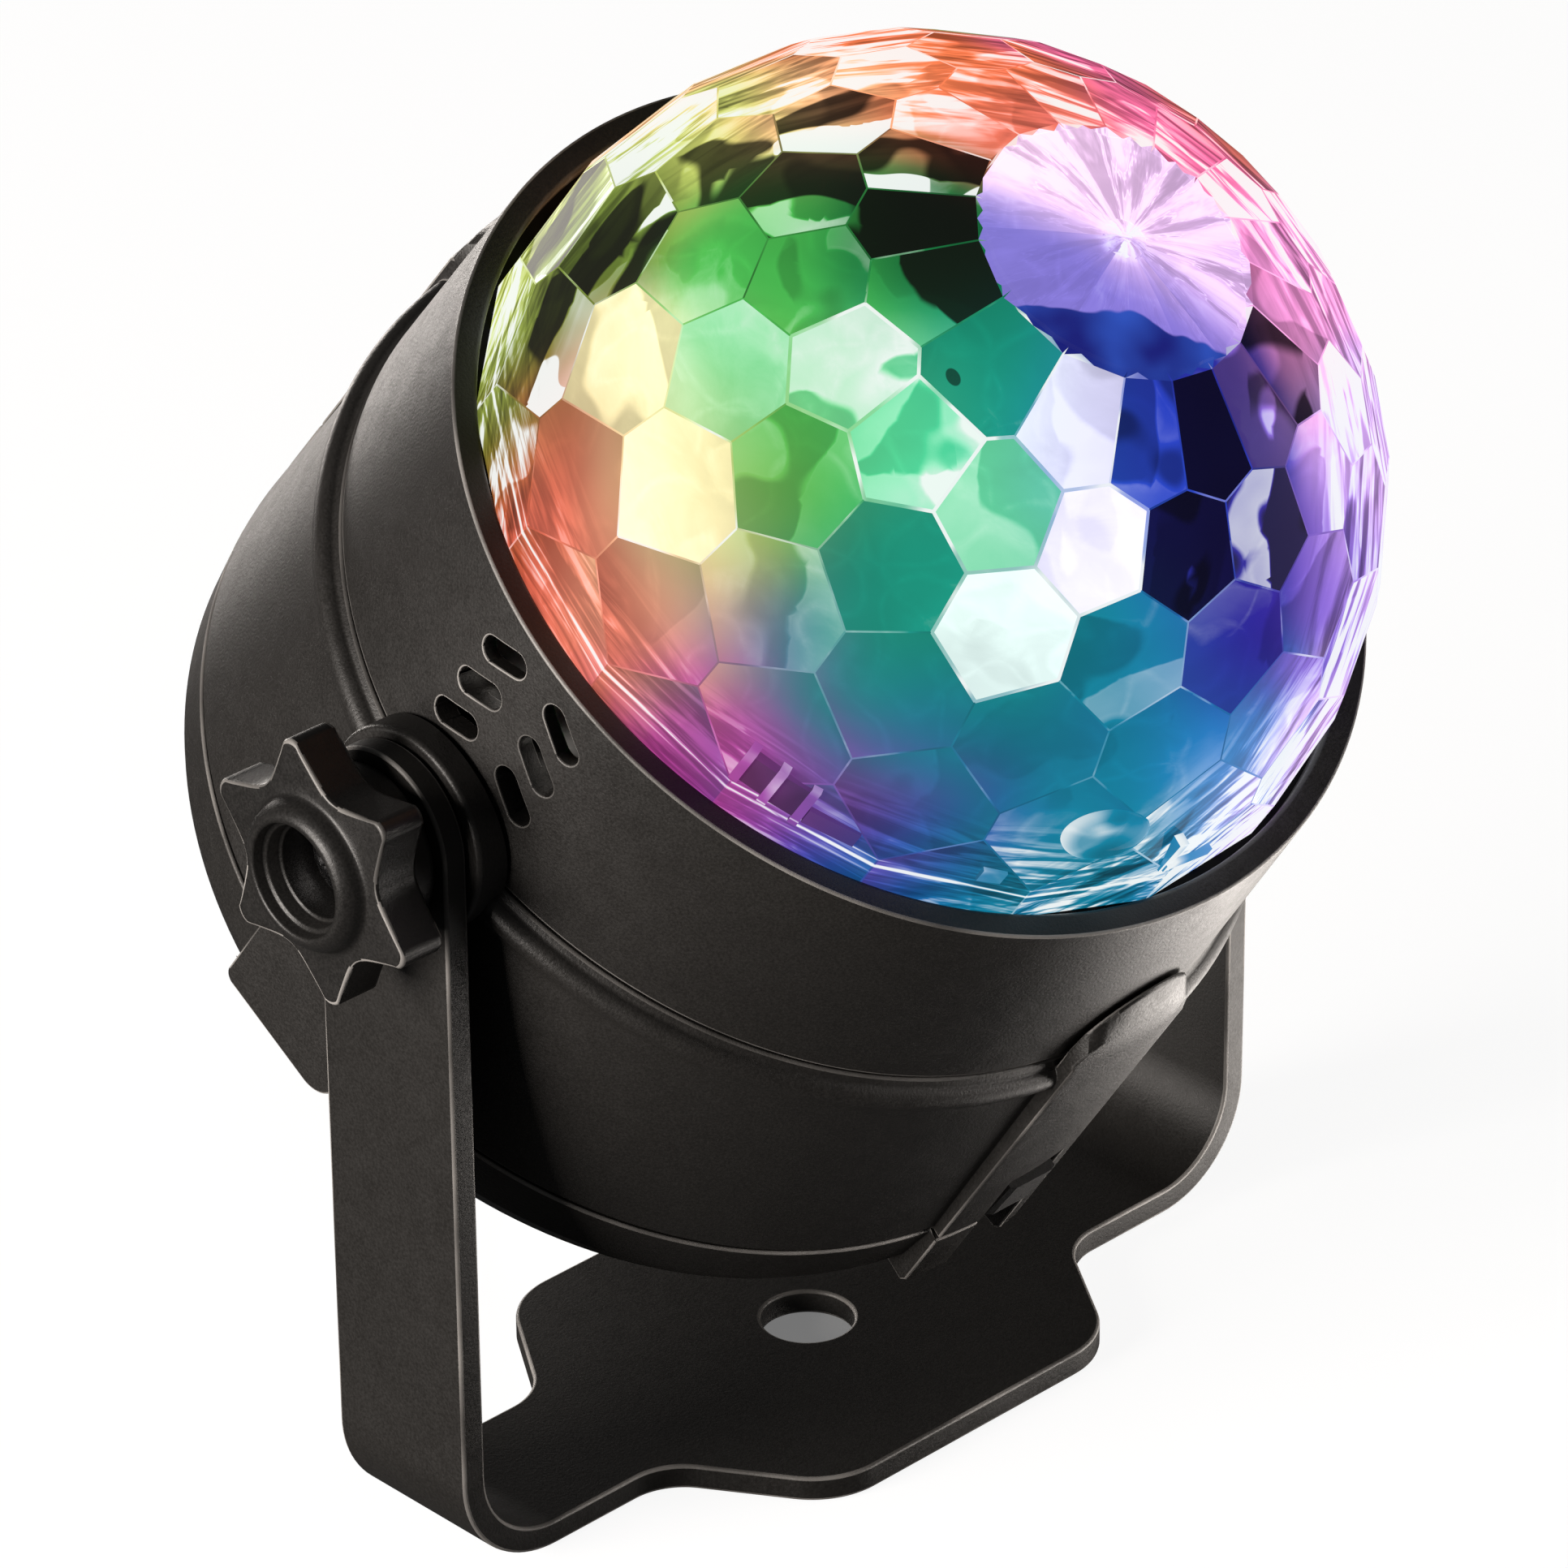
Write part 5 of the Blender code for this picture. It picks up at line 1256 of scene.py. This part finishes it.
def crystal(name="clear_facets", strength=1.0):
    """Clear plastic with coloured light behind it, painted on the shell as emission. Each flat facet shows its own
    piece of the painted light inside, pale where it catches the light; towards the edge of the dome the painted light
    draws out into thin streaks."""
    g = Graph(name)
    at = g.attribute("dome_dir")
    glow = g.add("ShaderNodeAttribute", attribute_name="glow")
    colour = glow.outputs["Color"]
    facet = g.add("ShaderNodeSeparateXYZ")
    g.put(facet.inputs[0], g.attribute("facet"))
    level, seed_a, seed_b = facet.outputs
    sort = g.add("ShaderNodeSeparateXYZ")
    g.put(sort.inputs[0], g.attribute("sort"))
    is_facet, is_edge, is_disc = sort.outputs
    seed = g.add("ShaderNodeCombineXYZ")
    for s, v in zip(seed.inputs, (seed_a, seed_b, g.math("SUBTRACT", seed_a, seed_b))):
        g.put(s, v)
    seeds = seed.outputs[0]

    # soft clouds of painted light in each facet, and thin painterly streaks of painted light
    cloud = g.noise(3.4, 2.0, 0.5, at=g.vec("ADD", at, g.vec("SCALE", seeds, scale=5.0)), distortion=0.5)
    grain = g.noise(7.0, 5.0, 0.66, at=g.vec("ADD", g.vec("MULTIPLY", at, (1.0, 1.0, 2.2)), seeds), distortion=0.6)
    light = g.ramp(cloud, 0.3, 0.7, 0.90, 1.10)
    wisps = g.ramp(level, 0.95, 1.35, 0.01, 0.045)
    wisps = g.math("MULTIPLY", wisps, g.ramp(grain, 0.35, 0.68, -1.0, 1.0))
    light = g.math("MULTIPLY", light, g.math("ADD", 1.0, wisps))

    # the flats seen through each facet, painted as gently curved lines, each with its own painted light beyond it and a
    # thin painted highlight along it
    bend = g.add("ShaderNodeSeparateXYZ")
    g.put(bend.inputs[0], g.noise(4.2, 1.0, 0.5, at=g.vec("ADD", at, g.vec("SCALE", seeds, scale=9.0)), out="Color"))
    cuts = g.add("ShaderNodeAttribute", attribute_name="cuts")
    lights = g.add("ShaderNodeAttribute", attribute_name="lights")
    cut_at, beyond = g.add("ShaderNodeSeparateXYZ"), g.add("ShaderNodeSeparateXYZ")
    g.put(cut_at.inputs[0], cuts.outputs["Vector"])
    g.put(beyond.inputs[0], lights.outputs["Vector"])
    thin = 0.0
    for far, factor, curve in ((cut_at.outputs[0], beyond.outputs[0], bend.outputs[0]), (cut_at.outputs[1], beyond.outputs[1], bend.outputs[1]),
                               (cut_at.outputs[2], beyond.outputs[2], bend.outputs[2])):
        far = g.math("ADD", far, g.math("MULTIPLY", g.math("SUBTRACT", curve, 0.5), 1.1))
        over = g.ramp(far, -0.03, 0.03, 0.0, 1.0, smooth=True)
        level = g.math("MULTIPLY", level, g.math("MULTIPLY_ADD", over, g.math("SUBTRACT", factor, 1.0), 1.0))
        line = g.math("SUBTRACT", 1.0, g.math("MULTIPLY", g.math("ABSOLUTE", far), 28.0), clamp=True)
        thin = g.math("MAXIMUM", thin, line)
    level = g.math("MINIMUM", level, 2.6)
    level = g.math("MULTIPLY_ADD", g.math("MULTIPLY", thin, g.ramp(level, 0.3, 1.0, 0.0, 0.11)), g.ramp(grain, 0.35, 0.6, 0.2, 1.0), level)

    # painted light streaks that run along the outline of the dome as seen from the front view, and on one side
    depth = g.vec("DOT_PRODUCT", at, tuple(SEEN))
    drawn = g.add("ShaderNodeCombineXYZ")
    g.put(drawn.inputs[0], g.math("MULTIPLY", depth, 27.0))
    g.put(drawn.inputs[1], g.math("MULTIPLY", g.vec("DOT_PRODUCT", at, tuple(SEEN_RIGHT)), 3.2))
    g.put(drawn.inputs[2], g.math("MULTIPLY", g.vec("DOT_PRODUCT", at, tuple(SEEN_UP)), 3.2))
    drawn = g.vec("ADD", drawn.outputs[0], g.vec("SCALE", seeds, scale=7.0))
    fine = g.noise(1.0, 3.0, 0.6, at=drawn, distortion=0.5)
    outer = g.ramp(depth, 0.40, 0.62, 1.0, 0.0, smooth=True)
    outer = g.math("MAXIMUM", outer, g.ramp(g.vec("DOT_PRODUCT", at, (0.35, 0.85, 0.4)), 0.52, 0.74, 0.0, 0.75, smooth=True))
    outer = g.math("MULTIPLY", outer, g.ramp(depth, -0.16, 0.02, 0.12, 1.0, smooth=True))
    streaks = g.ramp(fine, 0.36, 0.64, 0.42, 1.85, smooth=True)
    light = g.math("MULTIPLY", light, g.math("ADD", 1.0, g.math("MULTIPLY", outer, g.math("SUBTRACT", streaks, 1.0))))

    # the moulded rim zone: painted light streaks along the rim
    height = g.add("ShaderNodeSeparateXYZ")
    g.put(height.inputs[0], at)
    z = height.outputs[2]
    along = g.noise(1.0, 3.0, 0.6, at=g.vec("MULTIPLY", at, (2.6, 2.6, 30.0)), distortion=0.9)
    low = g.ramp(z, 0.13, 0.27, 1.0, 0.0, smooth=True)
    rim_light = g.ramp(along, 0.40, 0.66, 0.66, 1.5, smooth=True)
    light = g.math("MULTIPLY", light, g.math("ADD", 1.0, g.math("MULTIPLY", low, g.math("SUBTRACT", rim_light, 1.0))))

    # painted highlight lines on the ground edges, brighter and duller along their length
    edge = g.ramp(g.noise(5.5, 1.0, 0.5, at=at), 0.38, 0.62, 0.72, 1.3, smooth=True)
    # the disc: painted light along folds that run out from its middle, strongest in the upper right part, with painted
    # highlights along the creases, and a painted bright crumpled middle
    flat = g.vec("MULTIPLY", at, (1.0, 1.0, 0.0))
    middle = g.vec("LENGTH", flat)
    spoke = g.vec("NORMALIZE", flat)
    spoke = g.vec("MULTIPLY", spoke, (3.4, 3.4, 0.0))
    spoke = g.vec("ADD", spoke, g.vec("SCALE", g.vec("ADD", flat, (0.3, 0.0, 0.0)), scale=3.0))
    folds = g.noise(1.0, 4.0, 0.62, at=spoke, distortion=0.35)
    lit_folds = g.ramp(g.vec("DOT_PRODUCT", at, tuple(DISC_UP)), -0.09, 0.08, 0.15, 1.0, smooth=True)
    fan = g.ramp(folds, 0.36, 0.62, 0.74, 1.75, smooth=True)
    crease = g.math("SUBTRACT", 1.0, g.math("MULTIPLY", g.math("ABSOLUTE", g.math("SUBTRACT", folds, 0.47)), 70.0), clamp=True)
    fan = g.math("MULTIPLY_ADD", crease, 0.7, fan)
    fan = g.math("MULTIPLY_ADD", lit_folds, g.math("SUBTRACT", fan, 1.0), g.ramp(seed_a, 0.0, 1.0, 0.93, 1.08))
    fan = g.math("MULTIPLY_ADD", g.ramp(middle, 0.035, 0.075, 1.0, 0.0, smooth=True), g.ramp(grain, 0.4, 0.6, 0.0, 0.9), fan)
    shape_light = g.math("MULTIPLY", is_facet, light)
    shape_light = g.math("MULTIPLY_ADD", is_edge, edge, shape_light)
    shape_light = g.math("MULTIPLY_ADD", is_disc, fan, shape_light)
    bright = g.math("MULTIPLY", level, shape_light)
    # the painted light darkened in a small bean-shaped patch on one facet
    away = g.vec("SUBTRACT", at, (-0.49, -0.08, 0.87))
    wide = g.math("MULTIPLY", g.vec("DOT_PRODUCT", away, tuple(SEEN_RIGHT)), 1.25)
    wide = g.math("MULTIPLY_ADD", g.vec("DOT_PRODUCT", away, tuple(SEEN_UP)), 0.35, wide)
    tall = g.math("MULTIPLY", g.vec("DOT_PRODUCT", away, tuple(SEEN_UP)), 1.0)
    round_ = g.math("SQRT", g.math("ADD", g.math("MULTIPLY", wide, wide), g.math("MULTIPLY", tall, tall)))
    near_bean = g.math("MULTIPLY", g.ramp(round_, 0.0165, 0.0195, 0.78, 0.0, smooth=True), g.ramp(depth, 0.3, 0.4, 0.0, 1.0))
    bright = g.math("MULTIPLY", bright, g.math("SUBTRACT", 1.0, near_bean))
    # three thin painted highlight lines round the rim
    for where, wide, much in ((0.036, 0.007, 2.2), (0.058, 0.004, 0.9), (0.012, 0.004, 0.7)):
        ring = g.math("SUBTRACT", 1.0, g.math("MULTIPLY", g.math("ABSOLUTE", g.math("SUBTRACT", z, where)), 1 / wide), clamp=True)
        ring = g.math("MULTIPLY", ring, g.ramp(along, 0.35, 0.55, 0.25, 1.0))
        bright = g.math("MULTIPLY_ADD", ring, much, bright)
    # the deep blue crescent in the lower part of the disc
    drop = g.math("SUBTRACT", g.vec("DOT_PRODUCT", at, tuple(-SEEN_UP)), CRESCENT_AT)
    drop = g.math("SUBTRACT", drop, g.ramp(g.vec("DOT_PRODUCT", at, tuple(SEEN_RIGHT)), SEEN_RIGHT.z * 0.96 - 0.02,
                                           SEEN_RIGHT.z * 0.96 + 0.26, 0.0, 0.10, smooth=True))
    wavy = g.math("MULTIPLY_ADD", g.noise(7.0, 2.0, 0.5, at=at), 0.075, drop)
    crescent = g.math("MULTIPLY", is_disc, g.ramp(wavy, 0.0, 0.006, 0.0, 1.0, smooth=True))
    deep = g.mix(g.ramp(g.noise(5.0, 2.0, 0.5, at=at), 0.35, 0.65), (*linear(24, 30, 118), 1), (*linear(48, 84, 190), 1))
    pale = g.ramp(bright, 1.18, 2.1, 0.0, 0.95)
    white = g.mix(g.ramp(bright, 1.3, 2.2, 0.55, 0.92), colour, (0.95, 0.98, 0.97, 1))
    lit = g.vec("SCALE", colour, scale=g.math("MINIMUM", bright, 1.6))
    out = g.mix(pale, lit, white)
    out = g.mix(crescent, out, deep)
    g.put(g.shader.inputs["Emission Color"], out)
    g.shader.inputs["Emission Strength"].default_value = strength
    g.shader.inputs["Base Color"].default_value = (0.01, 0.01, 0.01, 1)
    g.shader.inputs["Roughness"].default_value = 0.05
    g.shader.inputs["IOR"].default_value = 1.45
    g.shader.inputs["Specular IOR Level"].default_value = 0.008
    return g.material


CRYSTAL = crystal()
place(shell, "dome", "clear_plastic", CRYSTAL, "crystal_dome")

# ---------------------------------------------------------------- carried-over nodes
for name, ob in frame["nodes"].items():
    if ob.hide_render:
        continue
    if name.startswith(("board_screw", "plate_screw", "pivot_nut")) or name in ("motor_plate", "motor", "microphone", "drive_shaft"):
        look = STEEL
    elif name in LED_LENS:
        look = LED_LENS[name]
    elif name == "cord_gland":
        look = RUBBER
    elif name == "led_board":
        look = WHITE_BOARD
    elif name == "control_board":
        look = GREEN_BOARD
    elif name == "gearbox":
        look = GREY_NYLON
    elif name == "led_cover":
        look = COVER_BLACK
    elif name == "ir_receiver":
        look = IR_BLACK
    else:
        look = CRYSTAL if False else plain("clear_" + name, (0.80, 0.84, 0.88), (0.9, 0.93, 0.96), 0.06, clear=0.9)
    for s in ob.material_slots:
        s.material = look
    if not ob.material_slots:
        ob.data.materials.append(look)

# ---------------------------------------------------------------- stage and light


bm = bmesh.new()
bmesh.ops.create_grid(bm, x_segments=4, y_segments=4, size=6000)
floor = body("floor", bm)
floor.location.z = -0.0003
paper = Graph("floor")
near = paper.vec("DISTANCE", paper.place, (0.0, PIVOT_Y * MM, 0.0))
shadow = paper.ramp(near, 0.0050, 0.0062, 0.17, 0.9)
paper.set(Base_Color=(0.25, 0.25, 0.25, 1), Roughness=0.9, Specular_IOR_Level=0.0, Emission_Color=(1, 1, 1, 1), Emission_Strength=shadow)
floor.data.materials.append(paper.material)
floor.visible_diffuse = False
floor.visible_glossy = False
floor.visible_transmission = False

world = scene.world or bpy.data.worlds.new("world")
scene.world = world
world.use_nodes = True
sky = world.node_tree.nodes["Background"]
sky.inputs[0].default_value = (1.0, 1.0, 1.0, 1)
sky.inputs[1].default_value = 0.05


def softbox(name, at, look, size, power, colour=(1, 1, 1)):
    data = bpy.data.lights.new(name, "AREA")
    data.shape = "RECTANGLE"
    data.size, data.size_y = size
    data.energy = power
    data.color = colour
    ob = bpy.data.objects.new(name, data)
    ob.location = at
    ob.rotation_mode = "QUATERNION"
    ob.rotation_quaternion = (Vector(look) - Vector(at)).to_track_quat("-Z", "Y")
    ob.visible_camera = False
    scene.collection.objects.link(ob)
    return ob


WARM = (1.0, 0.93, 0.87)
softbox("left_box", (-0.9, 0.15, 0.20), (0, 0, 0.07), (0.5, 0.5), 15.5, WARM)
softbox("right_box", (0.75, -0.75, 0.06), (0, 0, 0.06), (0.4, 0.5), 7, WARM)
softbox("rear_box", (0.30, 0.92, 0.04), (0, 0, 0.07), (0.4, 0.25), 2.6, WARM)
softbox("bounce_card", (0.085, -0.075, 0.001), (0.06, -0.05, 0.10), (0.10, 0.10), 0.19, WARM)
softbox("rear_card", (0.012, 0.048, 0.001), (0.05, 0.0, 0.03), (0.05, 0.03), 0.012, WARM)

scene.view_settings.view_transform = "Standard"
scene.view_settings.look = "None"
scene.view_settings.exposure = 0
scene.view_settings.gamma = 1
